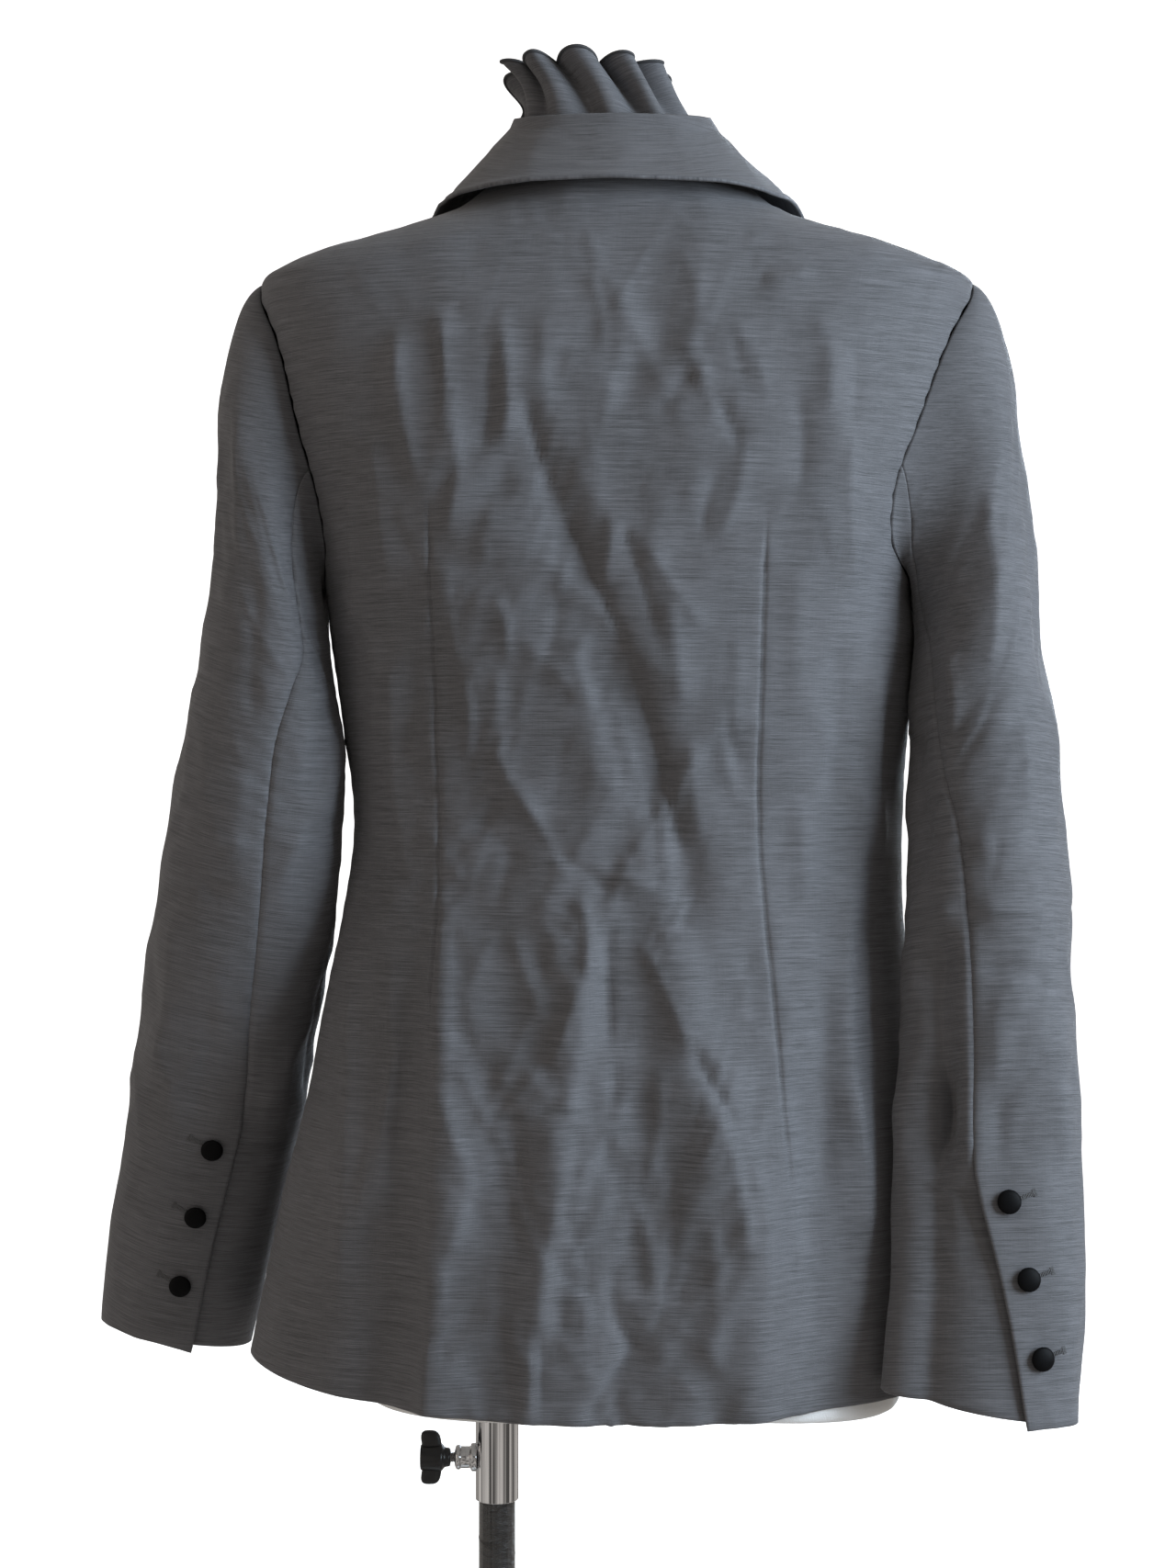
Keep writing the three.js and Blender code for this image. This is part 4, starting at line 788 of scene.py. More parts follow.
@once
def black_button():
    """Black button with a faint dull bloom."""
    material, tree, shader = new_material("black_button", 0.55, Specular_IOR_Level=0.08)
    place = tree.nodes.new("ShaderNodeTexCoord").outputs["Object"]
    bloom = noise_on(tree, place, (180, 180, 180), 3.0)
    tree.links.new(mix_colours(tree, bloom, (0.0015, 0.0015, 0.0018), (0.004, 0.004, 0.0045)), shader.inputs["Base Color"])
    rough = math_on(tree, "ADD", math_on(tree, "MULTIPLY", bloom, 0.2), 0.42)
    tree.links.new(rough, shader.inputs["Roughness"])
    bump_on(tree, shader, noise_on(tree, place, (1500, 1500, 1500), 2.0), 0.00004)
    return material


@once
def form_cover():
    """White knitted cover drawn over a padded form."""
    material, tree, shader = new_material("form_cover", 0.7, Sheen_Weight=0.25, Specular_IOR_Level=0.3)
    place = tree.nodes.new("ShaderNodeTexCoord").outputs["Object"]
    shade = noise_on(tree, place, (7, 7, 5), 3.0)
    tree.links.new(mix_colours(tree, shade, (0.82, 0.82, 0.81), (0.9, 0.9, 0.9)), shader.inputs["Base Color"])
    knit = noise_on(tree, place, (1400, 1400, 700), 2.0)
    bump_on(tree, shader, knit, 0.00025)
    return material


@once
def chrome():
    """Bright plated steel with fine wiping marks."""
    material, tree, shader = new_material("chrome", 0.12, Metallic=1.0)
    place = tree.nodes.new("ShaderNodeTexCoord").outputs["Object"]
    marks = noise_on(tree, place, (900, 900, 30), 3.0)
    tree.links.new(mix_colours(tree, marks, (0.5, 0.5, 0.51), (0.74, 0.74, 0.75)), shader.inputs["Base Color"])
    tree.links.new(math_on(tree, "ADD", math_on(tree, "MULTIPLY", marks, 0.08), 0.02), shader.inputs["Roughness"])
    return material


@once
def knob_plastic():
    """Black moulded plastic, finely grained."""
    material, tree, shader = new_material("knob_plastic", 0.32)
    place = tree.nodes.new("ShaderNodeTexCoord").outputs["Object"]
    grain = noise_on(tree, place, (1200, 1200, 1200), 3.0)
    tree.links.new(mix_colours(tree, grain, (0.004, 0.004, 0.005), (0.011, 0.011, 0.012)), shader.inputs["Base Color"])
    bump_on(tree, shader, grain, 0.00006)
    return material


@once
def pole_film():
    """Dark crinkled film wound tightly round the pole."""
    material, tree, shader = new_material(
        "pole_film", 0.3, Specular_IOR_Level=0.6, Coat_Weight=0.8, Coat_Roughness=0.12)
    place = tree.nodes.new("ShaderNodeTexCoord").outputs["Object"]
    crinkle = noise_on(tree, place, (110, 110, 330), 5.0, 0.6, 1.2)
    dust = noise_on(tree, place, (60, 60, 90), 3.0)
    tree.links.new(mix_colours(tree, dust, (0.009, 0.008, 0.008), (0.03, 0.028, 0.027)), shader.inputs["Base Color"])
    tree.links.new(math_on(tree, "ADD", math_on(tree, "MULTIPLY", crinkle, 0.2), 0.08), shader.inputs["Roughness"])
    bump_on(tree, shader, crinkle, 0.0036)
    return material


@once
def base_paint():
    """White baked enamel with a slight orange-peel surface."""
    material, tree, shader = new_material("base_paint", 0.32, Coat_Weight=0.3, Coat_Roughness=0.1)
    place = tree.nodes.new("ShaderNodeTexCoord").outputs["Object"]
    wear = noise_on(tree, place, (16, 16, 16), 4.0)
    tree.links.new(mix_colours(tree, wear, (0.74, 0.74, 0.72), (0.82, 0.82, 0.81)), shader.inputs["Base Color"])
    bump_on(tree, shader, noise_on(tree, place, (420, 420, 420), 2.0), 0.00005)
    return material


# ---- the body panels ----
def armhole_turn(column, height):
    """How far an armhole's edge is turned from the side seam at a height."""
    cosine = np.clip((height - ARMHOLE_MIDDLE) / ARMHOLE_HALF_HEIGHT, -1, 1)
    return read(ARMHOLE, column, np.degrees(np.arccos(cosine)), "around")


def panel_heights():
    """The heights of a panel's rows: below the underarm, beside the armhole and over the shoulder."""
    beside = np.radians(np.linspace(180, 0, 60))
    return np.concatenate([
        np.linspace(0, UNDERARM_HEIGHT, 180)[:-1], ARMHOLE_MIDDLE + ARMHOLE_HALF_HEIGHT * np.cos(beside),
        np.linspace(ARMHOLE_TOP, NECK_HEIGHT, 26)[1:]])


def stretch(count):
    """Shares across a stretch of cloth, closest at its two ends."""
    near = np.array([0, 0.008, 0.018, 0.034])
    return np.concatenate([near, np.linspace(0.06, 0.94, count), 1 - near[::-1]])


def across_stretches(edges, counts):
    """Columns over stretches between edges, each given for every row."""
    parts = []
    for i, count in enumerate(counts):
        shares = stretch(count)[1 if i else 0:]
        parts.append(edges[i][:, None] + (edges[i + 1] - edges[i])[:, None] * shares)
    return np.concatenate(parts, axis=1)


def from_edges(bare):
    """Running distance of each point of a grid from its row's two ends."""
    steps = np.linalg.norm(np.diff(bare, axis=1), axis=2)
    run = np.concatenate([np.zeros((len(bare), 1)), np.cumsum(steps, axis=1)], axis=1)
    return run, run[:, -1:] - run


def panel(turn, height, lift):
    """Points on a body panel, with the rise of the hem."""
    points = bare_torso(turn, height) + torso_normal(turn, height) * lift[..., None]
    hem = np.clip(1 - height / HEM_RISE_UP_TO, 0, 1) ** 2
    points[..., 2] += HEM_RISE * np.sin(np.radians(turn)) ** 2 * hem
    return points


def dart_groove(x, height, place, ends, seed):
    """A sewn dart: a narrow groove between two soft lips, with slight gathers."""
    distance = np.abs(x - place)
    reach = smooth(height, ends[0] - 14, ends[0] + 20) * (1 - smooth(height, ends[1] - 20, ends[1] + 14))
    groove = -1.3 * np.exp(-(distance / 0.9) ** 2) + 0.3 * np.exp(-((distance - 4) / 3) ** 2)
    return reach * (groove + pucker(distance, height, 17, 0.35, 9, seed))


def small_creases(x, z, seed, count):
    """A table of short uneven creases over the extent of a piece, most of them slanting down."""
    chance = np.random.RandomState(seed)
    start_x = chance.uniform(x.min(), x.max(), count)
    start_z = chance.uniform(z.min(), z.max(), count)
    length = chance.uniform(16, 52, count)
    slant = chance.choice([-1, 1], count) * chance.uniform(0.1, 0.8, count)
    bow = chance.uniform(-0.22, 0.22, count) * length
    way_x, way_z = np.sin(slant), -np.cos(slant)
    columns = (
        start_x, start_z, start_x + way_x * length / 2 - way_z * bow, start_z + way_z * length / 2 + way_x * bow,
        start_x + way_x * length, start_z + way_z * length, chance.uniform(2.6, 5.2, count),
        chance.choice([-1, 1], count) * chance.uniform(0.4, 1.35, count), chance.uniform(-0.4, 0.4, count))
    return dict(zip(CREASE_COLUMNS.split(), columns))


def cloth_relief(creases, x, z, seed, count, worn=1.0):
    """All the finer creases of a piece, as deep as the settings say."""
    sizes = bpy.context.scene.blazer_cloth
    fine = crease_lift(small_creases(x, z, seed + 5, count), x, z) + rumple(x, z, seed)
    return sizes.crease_depth * crease_lift(creases, x, z) + sizes.rumple_depth * fine * worn


def make_back():
    """The one-piece back with its two long darts."""
    rows = panel_heights()
    right = -90 + armhole_turn("rightBack", rows)
    left = 90 - armhole_turn("leftBack", rows)
    dart_x = {side: read(DARTS, side, rows) for side in ("right", "left")}
    darts = [turn_at(dart_x[side], rows, -90, 90) for side in ("right", "left")]
    turn = across_stretches([right, *darts, left], (36, 64, 36))
    height = np.broadcast_to(rows[:, None], turn.shape)
    bare = bare_torso(turn, height)
    x = bare[..., 0]
    run, back_run = from_edges(bare)
    side_fade = smooth(np.abs(90 - np.abs(turn)), 4, 24)
    lift = fold_lift(BACK_FOLDS, x, height) * side_fade
    calm = smooth(np.minimum(run, back_run), 0, 22) * (1 - 0.6 * smooth(height, 660, NECK_HEIGHT))
    worn = 0.5 + 0.7 * (1 - smooth(np.abs(x - 15), 50, 125)) * (1 - smooth(height, 590, 650))
    lift += cloth_relief(BACK_CREASES, x, height, 11, 230, worn) * calm
    for i, side in enumerate(("right", "left")):
        lift += dart_groove(x, height, dart_x[side][:, None], DART_ENDS[side], 30 + i)
    for distance in (run, back_run):
        lift += seam_dip(distance) + pucker(distance, height, 13, 0.4, 9, 41)
    lift += seam_dip(NECK_HEIGHT - height)
    grid = panel(turn, height, lift)
    return cloth_piece("blazer_back", grid, torso_normal(turn, height), 1.6, "back", seed=1,
                       grain=level_grain(grid))


def level_grain(grid, down=None):
    """Thread directions of a piece whose weft lies square to a direction, straight down if none is given."""
    axis = unit(np.array([0, 0, -1.0] if down is None else down))
    return cloth_lengths(eased(grid.copy(), 12))[0], -grid @ axis


def front_lift(side, x, height):
    """The right front rises over the left one where they overlap."""
    if side > 0:
        return np.zeros(np.broadcast(x, height).shape)
    return OVERLAP_LIFT * smooth(x, -126, -86) * (1 - smooth(height, 540, 600))


def roll_line(height):
    """The roll line's distance from the centre, on the wearer's side of the front."""
    return lerp(-FRONT_EDGE, ROLL_TOP, np.clip((height - BREAK_HEIGHT) / (NECK_HEIGHT - BREAK_HEIGHT), 0, 1))


def make_front(side, name):
    """A front from its side seam to its roll line, with a dart."""
    rows = panel_heights()
    start = 90 + armhole_turn("front", rows)
    dart_x = side * read(FRONT_DARTS, "out", rows)
    dart = turn_at(dart_x, rows, 90, 270)
    edge = turn_at(side * roll_line(rows), rows, 90, 270)
    if side < 0:
        start = 360 - start
    dart = lerp(start, dart, np.clip(np.abs(edge - start) / np.maximum(np.abs(dart - start), 1) * 0.8, 0, 1))
    turn = across_stretches([start, dart, edge], (26, 42))
    height = np.broadcast_to(rows[:, None], turn.shape)
    bare = bare_torso(turn, height)
    x = bare[..., 0]
    run, edge_run = from_edges(bare)
    side_fade = smooth(np.abs(90 - np.abs(np.where(turn > 180, turn - 360, turn))), 4, 24)
    lift = fold_lift(FRONT_FOLDS, x, height) * side_fade + front_lift(side, x, height)
    calm = smooth(run, 0, 22) * smooth(edge_run, 0, 14) * (1 - 0.6 * smooth(height, 660, NECK_HEIGHT))
    lift += cloth_relief(FRONT_CREASES, x, height, 23 + side, 70) * calm * 0.85
    lift += dart_groove(x, height, bare_torso(dart, rows)[:, 0][:, None], FRONT_DART_ENDS, 36 + side)
    lift += seam_dip(run) + pucker(run, height, 13, 0.4, 9, 43) + seam_dip(NECK_HEIGHT - height)
    grid = panel(turn, height, lift)
    return cloth_piece("blazer_" + name, grid, torso_normal(turn, height), 1.6, name, seed=2 + side,
                       grain=level_grain(grid))


def front_point(side, x, height, lift):
    """Points on a front at a distance from the centre and a height."""
    turn = turn_at(x, height, 90, 270)
    base = fold_lift(FRONT_FOLDS, x, height) + front_lift(side, x, height)
    return panel(turn, height, base + lift), torso_normal(turn, height)


def make_lapel(side, name):
    """The turned-out part of a front, rolled over from the roll line."""
    start = LEFT_LAPEL_START if side > 0 else BREAK_HEIGHT + 8
    t = np.linspace(0, 1, 90)[:, None]
    roll_steps = 7
    across = np.concatenate([np.zeros(roll_steps), np.linspace(0, 1, 34) ** 1.0])[None, :]
    t, across = np.broadcast_arrays(t, across)
    roll_height = lerp(start, GORGE_HEIGHT, t)
    edge_height = lerp(start, LAPEL_TIP_HEIGHT, t)
    share = (edge_height - BREAK_HEIGHT) / (LAPEL_TIP_HEIGHT - BREAK_HEIGHT)
    edge = lerp(-FRONT_EDGE, LAPEL_TIP_OUT, share) + 8 * np.sin(np.pi * share)
    covered = 6 - roll_line(roll_height) if side > 0 else -FRONT_EDGE
    roll = np.maximum(roll_line(roll_height) + 1, covered)
    angle = np.concatenate([np.linspace(-90, 70, roll_steps), np.full(34, 90)])[None, :]
    radius = (LAPEL_GAP + 3.0) / 2
    x = side * (lerp(roll, np.maximum(edge, roll + 3), across) - radius * np.cos(np.radians(angle)) * smooth(t, 0, 0.06))
    height = lerp(roll_height, edge_height, across)
    soft = 2.2 * np.sin(np.pi * np.minimum(across * 2, 1)) * t
    lift = radius * (1 + np.sin(np.radians(angle))) - 1 + soft * (across > 0)
    lift += 0.35 * rumple(x, height, 61 + side) * smooth(across, 0, 0.2)
    grid, normal = front_point(side, x, height, lift)
    return cloth_piece("blazer_" + name, grid, normal, 1.8, name, seed=5 + side)


# ---- the collar and the frill ----
def neck_line(line, along):
    """A line round the neck: along goes from -1, the right front end, to 1, the left front end."""
    part = np.abs(along)
    soft = (np.sqrt(part ** 2 + 0.05 ** 2) - 0.05) / (math.sqrt(1 + 0.05 ** 2) - 0.05)
    shift = COLLAR_SHIFT if line == "fold" else 0
    return stack(
        read(COLLAR, line + "X", part, "along") * np.sign(along) + shift,
        read(COLLAR, line + "Y", soft, "along"), read(COLLAR, line + "Z", soft, "along"))


def clear_of_torso(points, gap_at):
    """Points moved out until they are at least gap_at(turn, height) off the torso's surface."""
    z = np.minimum(points[..., 2], NECK_HEIGHT)
    x = (points[..., 0] - read(TORSO, "shift", z)) / read(TORSO, "width", z)
    depth = np.where(points[..., 1] > 0, read(TORSO, "back", z), read(TORSO, "front", z))
    turn = np.degrees(np.arctan2(x, points[..., 1] / depth))
    normal = torso_normal(turn, z)
    off = np.sum((points - bare_torso(turn, z)) * normal, axis=-1)
    push = np.maximum(gap_at(turn, z) - off, 0) * (points[..., 2] <= NECK_HEIGHT)
    return points + normal * push[..., None]


def eased(grid, passes):
    """A grid with its rows softened, its first and last rows kept."""
    for _ in range(passes):
        grid[1:-1] = (grid[:-2] + 2 * grid[1:-1] + grid[2:]) / 4
    return grid


def make_collar():
    """The fold-over collar: a stand, a soft fold and a fall with a turned edge."""
    along = np.linspace(-1, 1, 190)[None, :]
    stand_rows, fall_rows = 16, 26
    seam, fold, edge = (neck_line(line, along) for line in ("seam", "fold", "edge"))
    fold = fold + UP * 2.2
    t = np.linspace(0, 1, stand_rows)[:, None, None]
    stand = lerp(seam, fold, t) + UP * 2.5 * np.sin(np.pi * t)
    stand = clear_of_torso(stand, lambda turn, z: 4.5)
    t = np.linspace(0, 1, fall_rows)[1:, None, None]
    fall = lerp(fold, edge, t)
    away = unit(fall * np.array([1, 1, 0]))
    fall = fall - away * 2 * np.sin(np.pi * t)
    fall = clear_of_torso(fall, lambda turn, z: 5.5)
    grid = eased(np.concatenate([stand, fall]), 5)
    outward = grid * np.array([1, 1, 0])
    outward[:stand_rows] *= -1
    normals = grid_normals(grid, np.where(np.arange(len(grid))[:, None, None] < stand_rows, outward, outward))
    u, v = cloth_lengths(grid)
    down = np.linspace(0, 1, len(grid))[:, None]
    ripple = 0.5 * rumple(u * 0.9, v * 0.9 + 300, 71) * smooth(down, 0.4, 0.6)
    turned_edge = 0.9 * np.exp(-((v[-1] - v) / 3.5) ** 2) - 0.6 * np.exp(-((v[-1] - v - 6.5) / 1.4) ** 2)
    grid = grid + normals * (ripple + turned_edge)[..., None]
    return cloth_piece("blazer_collar", grid, normals, 2.2, "collar", seed=7)


def make_ruffle():
    """The knife-pleated frill that stands inside the collar, with a narrow rolled edge."""
    rows, columns = 30, RUFFLE_WAVES * 26
    part = np.linspace(0, 1, rows)[:, None]
    base = np.linspace(-RUFFLE_END, RUFFLE_END, columns + 1)[None, :]
    phase = np.pi * RUFFLE_WAVES * (base / RUFFLE_END + 1) - 3.2 * smooth(base, 0.02, 0.3)
    phase = phase + 0.6 * wander(base * 5.1 + 7, base * 0 + 1.5, 82)
    size = {name: read(RUFFLE, name, part, "up") for name in RUFFLE if name != "up"}
    uneven = 1 + 0.4 * wander(base * 6.3 + 3, base * 0 + 2.5, 81)
    fade = (1 - 0.8 * smooth(np.abs(base), 0.38, RUFFLE_END)) * (1 - 0.8 * smooth(np.abs(base), 0.82, RUFFLE_END))
    along = np.clip(base - size["skew"] * np.cos(phase) * uneven * fade, -1, 1)
    rise = size["rise"][..., None]
    points = lerp(neck_line("seam", along), neck_line("fold", along), rise)
    ahead = neck_line("fold", np.minimum(along + 0.01, 1)) - neck_line("fold", np.maximum(along - 0.01, -1))
    out = unit(np.cross(UP, ahead))
    swing = np.sin(phase) * uneven
    points = points + out * (-size["inset"] + size["wave"] * swing * fade)[..., None]
    points[..., 2] += size["above"] * fade * (1 - 0.15 * ((points[..., 0] - 5) / 50) ** 2)
    points[..., 2] += 2.2 * part ** 2 * swing * fade
    points[..., 0] += size["lean"] * (25 - 14 * smooth(points[..., 0], 10, 54)) * fade
    grid = clear_of_torso(points, lambda turn, z: 1.7)
    piece = cloth_piece("blazer_ruffle", grid, out * np.ones((rows, 1, 1)), 0.9, "ruffle", seed=8)
    # The rolled edge takes the suiting at 0.42 of its colour: painted shade along the roll.
    edge = grow("blazer_ruffle_edge", cord_tree(), to_metres(grid[-1]), Radius=0.0010, Cloth=suiting(0.42))
    layer = edge.data.uv_layers.new(name="cloth")
    layer.data.foreach_set("uv", np.tile([0.2, 0.3], len(edge.data.loops)).astype(np.float32))
    return piece


# ---- the sleeves ----
RELIEF = {}
VENT_TIP = 4.5
HEAD_FREE = 0.125


def armhole_point(sleeve, around):
    """The armhole's edge; around goes from its top over the back."""
    back = np.sin(np.radians(around)) >= 0
    height = ARMHOLE_MIDDLE + ARMHOLE_HALF_HEIGHT * np.cos(np.radians(around))
    turn = np.where(back, 90 - armhole_turn(sleeve["back"], height), 90 + armhole_turn("front", height))
    points = bare_torso(sleeve["side"] * turn, height)
    middle = bare_torso(sleeve["side"] * 90, ARMHOLE_MIDDLE)
    inward = unit((middle - points) * np.array([0, 1, 1]))
    return points + inward * 0.5


def sleeve_clearance(sleeve):
    """The gap that a hanging sleeve keeps from the panels, and none inside its armhole."""
    def gap(turn, height):
        edge = np.where(np.abs(turn) < 90, armhole_turn(sleeve["back"], height), armhole_turn("front", height))
        past = np.abs(90 - np.abs(turn)) - edge + np.maximum(UNDERARM_HEIGHT - height, 0) / 2
        held_off = (height <= UNDERARM_HEIGHT + 45) & (past > 0.5)
        return np.where(held_off, BODY_CLEARANCE * smooth(past, 0.5, 6), -1e3)
    return gap


def sleeve_height(sleeve, share):
    """The outer line's height at a share of the way down it."""
    return lerp(SLEEVE_TOP, sleeve["cuff_outer"], share)


def sleeve_point(sleeve, share, around, lift):
    """Points on a sleeve: share runs down the outer line, from 0 at the armhole to 1 at the cuff."""
    rows = sleeve["rows"]
    outer_height = sleeve_height(sleeve, share)
    drop = (SLEEVE_TOP - UNDERARM_HEIGHT) * (1 - share) ** 2
    inner_height = outer_height - drop - (sleeve["cuff_outer"] - sleeve["cuff_inner"]) * share ** 3
    outer = read(rows, "outer", outer_height)
    inner = read(rows, "inner", np.minimum(inner_height, UNDERARM_HEIGHT))
    middle = (outer_height + inner_height) / 2
    a = np.radians(around)
    outwards = (1 + np.cos(a)) / 2
    side = sleeve["side"]
    ring = stack(
        side * lerp(inner, outer, outwards), read(rows, "depth", middle) + read(rows, "half", middle) * np.sin(a),
        lerp(inner_height, outer_height, outwards))
    ring = ring + stack(side * np.cos(a), np.sin(a), 0) * np.asarray(lift)[..., None]
    free = HEAD_FREE * (1 - 0.1 * outwards)
    start = smooth(0, -0.05, free)
    freed = (smooth(share, -0.05, free) - start) / (1 - start)
    points = lerp(armhole_point(sleeve, around), ring, freed[..., None])
    return clear_of_torso(points, sleeve_clearance(sleeve))


def sleeve_normal(sleeve, share, around):
    """A sleeve's outward direction."""
    flat = np.zeros(np.broadcast(share, around).shape)
    along = sleeve_point(sleeve, share + 0.01, around, flat) - sleeve_point(
        sleeve, np.maximum(share - 0.01, 0), around, flat)
    across = sleeve_point(sleeve, share, around + 3, flat) - sleeve_point(sleeve, share, around - 3, flat)
    return unit(np.cross(along, across) * sleeve["side"])


def vent_share(sleeve, share):
    """The share of the vent's lift: 0 above it and 1 from a little above where the layers lap."""
    height = sleeve_height(sleeve, share) - sleeve["cuff_outer"]
    return 1 - smooth(height, VENT_LENGTH + 4, VENT_LENGTH + VENT_EASE + 6)


def back_seam(sleeve, share):
    """Where the back seam lies around the arm."""
    below = read(sleeve["rows"], "seam", sleeve_height(sleeve, share) - 60 * (1 - share))
    below = below + sleeve["armpit"] * np.exp(-((share - 0.085) / 0.055) ** 2)
    return lerp(SEAM_AT_ARMHOLE, below, np.minimum(share / sleeve["settle"], 1))


def vent_lift(sleeve, share, around):
    """How far the upper sleeve stands off the under one beside its vent."""
    to_edge = (back_seam(sleeve, share) - around) / ARM_GIRTH_TURN
    near = 1 - smooth(to_edge, VENT_LAP + 4, VENT_BAND + 14)
    return VENT_LIFT * vent_share(sleeve, share) * near


def sleeve_edges(sleeve, share, part):
    """Where a sleeve piece's two long edges lie around the arm."""
    seam = back_seam(sleeve, share)
    if part == "upper":
        return np.full_like(seam, -SEAM_AT_ARMHOLE), seam
    height = sleeve_height(sleeve, share) - sleeve["cuff_outer"]
    laps = 1 - smooth(height, VENT_LENGTH - 8, VENT_LENGTH)
    return seam - laps * VENT_LAP * ARM_GIRTH_TURN, np.full_like(seam, 360 - SEAM_AT_ARMHOLE)


def sleeve_lift(name, part, share, around):
    """How far a sleeve's cloth stands off its plain form: creases, seams, gathered head and vent."""
    sleeve = SLEEVES[name]
    first, last = sleeve_edges(sleeve, share, part)
    down = share * (SLEEVE_TOP - sleeve["cuff_outer"])
    opened = vent_share(sleeve, share)
    to_first, to_last = (around - first) / ARM_GIRTH_TURN, (last - around) / ARM_GIRTH_TURN
    open_edge, sewn_edge = (to_last, to_first) if part == "upper" else (to_first, to_last)
    calm = smooth(np.minimum(to_first, to_last), 0, 14) * (1 - 0.5 * opened) * smooth(share, 0.01, 0.1)
    lift = calm * RELIEF[name, part](around / ARM_GIRTH_TURN, down)
    outwards = (1 + np.cos(np.radians(around))) / 2
    head = smooth(share, 0, 0.02) * (1 - smooth(share, 0.03, 0.15))
    lift = lift + 1.8 * head * outwards
    seed = 93 if name == "left" else 133
    lift += pucker(down, around / ARM_GIRTH_TURN, 12, 0.9, 14, seed) * outwards * smooth(share, 0.002, 0.02)
    lift += seam_dip(open_edge) * (1 - opened) + seam_dip(sewn_edge)
    lift += pucker(open_edge, down, 15, 0.35, 8, seed + 1) * (1 - opened)
    if part == "upper":
        lift += vent_lift(sleeve, share, around)
    return lift


def sleeve_relief(creases, seed):
    """A sleeve's creases as a function of the way round the arm and down it."""
    sizes = bpy.context.scene.blazer_cloth
    round_it, down = np.meshgrid([-90.0, 230.0], [20.0, 600.0])
    small = small_creases(round_it, down, seed + 5, 90)

    def relief(x, z):
        x, z = np.broadcast_arrays(x, z)
        fine = crease_lift(small, x, z) + rumple(x, z, seed)
        return sizes.crease_depth * crease_lift(creases, x, z) + 0.8 * sizes.rumple_depth * fine
    return relief


def make_sleeve(name, part):
    """The upper or the under piece of a sleeve."""
    sleeve = SLEEVES[name]
    creases = LEFT_SLEEVE_CREASES if name == "left" else RIGHT_SLEEVE_CREASES
    RELIEF[name, part] = sleeve_relief(creases, 91 if name == "left" else 131)
    shares = np.concatenate([np.linspace(0, 0.12, 32), np.linspace(0.12, 1, 180)[1:]])[:, None]
    first, last = sleeve_edges(sleeve, shares, part)
    around = lerp(first, last, stretch(64 if part == "upper" else 44)[None, :])
    share = np.broadcast_to(shares, around.shape)
    grid = sleeve_point(sleeve, share, around, sleeve_lift(name, part, share, around))
    if part == "upper":
        at_vent = np.exp(-(last - around) / ARM_GIRTH_TURN / 16)
        grid[..., 2] -= VENT_TIP * at_vent * smooth(share, 0.9, 1)
    normals = sleeve_normal(sleeve, share, around)
    tuck = grid[:1] - normals[:1] * 2.4 - unit(grid[1:2] - grid[:1]) * 2.0
    grid, normals = np.concatenate([tuck, grid]), np.concatenate([normals[:1], normals])
    node = f"sleeve_{part}_{name}"
    down = grid[-1].mean(axis=0) - grid[len(grid) // 4].mean(axis=0)
    return cloth_piece("blazer_" + node, grid, normals, 1.6, node,
                       seed=9 + 2 * (part == "upper") + (name == "left"), grain=level_grain(grid, down))


# ---- buttons ----
def button_mesh(radius, rim, dome):
    """Points and faces of a domed button, its flat back at zero."""
    arc = [(radius * math.cos(a), rim * 0.6 + (rim * 0.4 + dome) * math.sin(a)) for a in np.linspace(0.25, 1.45, 9)]
    profile = [(0, 0), (radius * 0.84, 0), (radius * 0.97, rim * 0.25), (radius, rim * 0.55), *arc, (0, rim + dome)]
    return turned_faces(profile, 40)


def make_button(node, radius, rim, dome, place, normal, off):
    """A button seated on the cloth, with its thread shank."""
    points, faces = button_mesh(radius, rim, dome)
    button = make_piece(node + "_dome", to_metres(looking_along(points, normal) + place + normal * off), faces,
                        black_button())
    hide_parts(node)
    shank, shank_faces = turned_faces([(0, -2.5), (1.6, -2.4), (1.3, 0.2), (0, 0.3)], 12)
    stem = make_piece(node + "_shank", to_metres(looking_along(shank, normal) + place + normal * off), shank_faces,
                      thread())
    return button


def make_buttonhole(name, path, normal, body="form"):
    """A worked buttonhole: close stitches along its slit and a bar at its far end."""
    normal = unit(normal)
    along = unit(path[-1] - path[0])
    side = unit(np.cross(normal, along))
    bar = [path[-1] + side * s for s in (-1.9, 1.9)]
    settings = dict(Cloth_normal=tuple(float(n) for n in normal), Thread=thread())
    tree = stitches_tree()
    row = grow(name + "_row", tree, to_metres(path), Pitch=0.0008, Thread_radius=0.00032,
               Stitch_length=0.0023, **settings)
    end = grow(name + "_bar", tree, to_metres(bar), Pitch=0.0006, Thread_radius=0.00032,
               Stitch_length=0.0019, **settings)
    made = joined(name, [row, end])
    return made


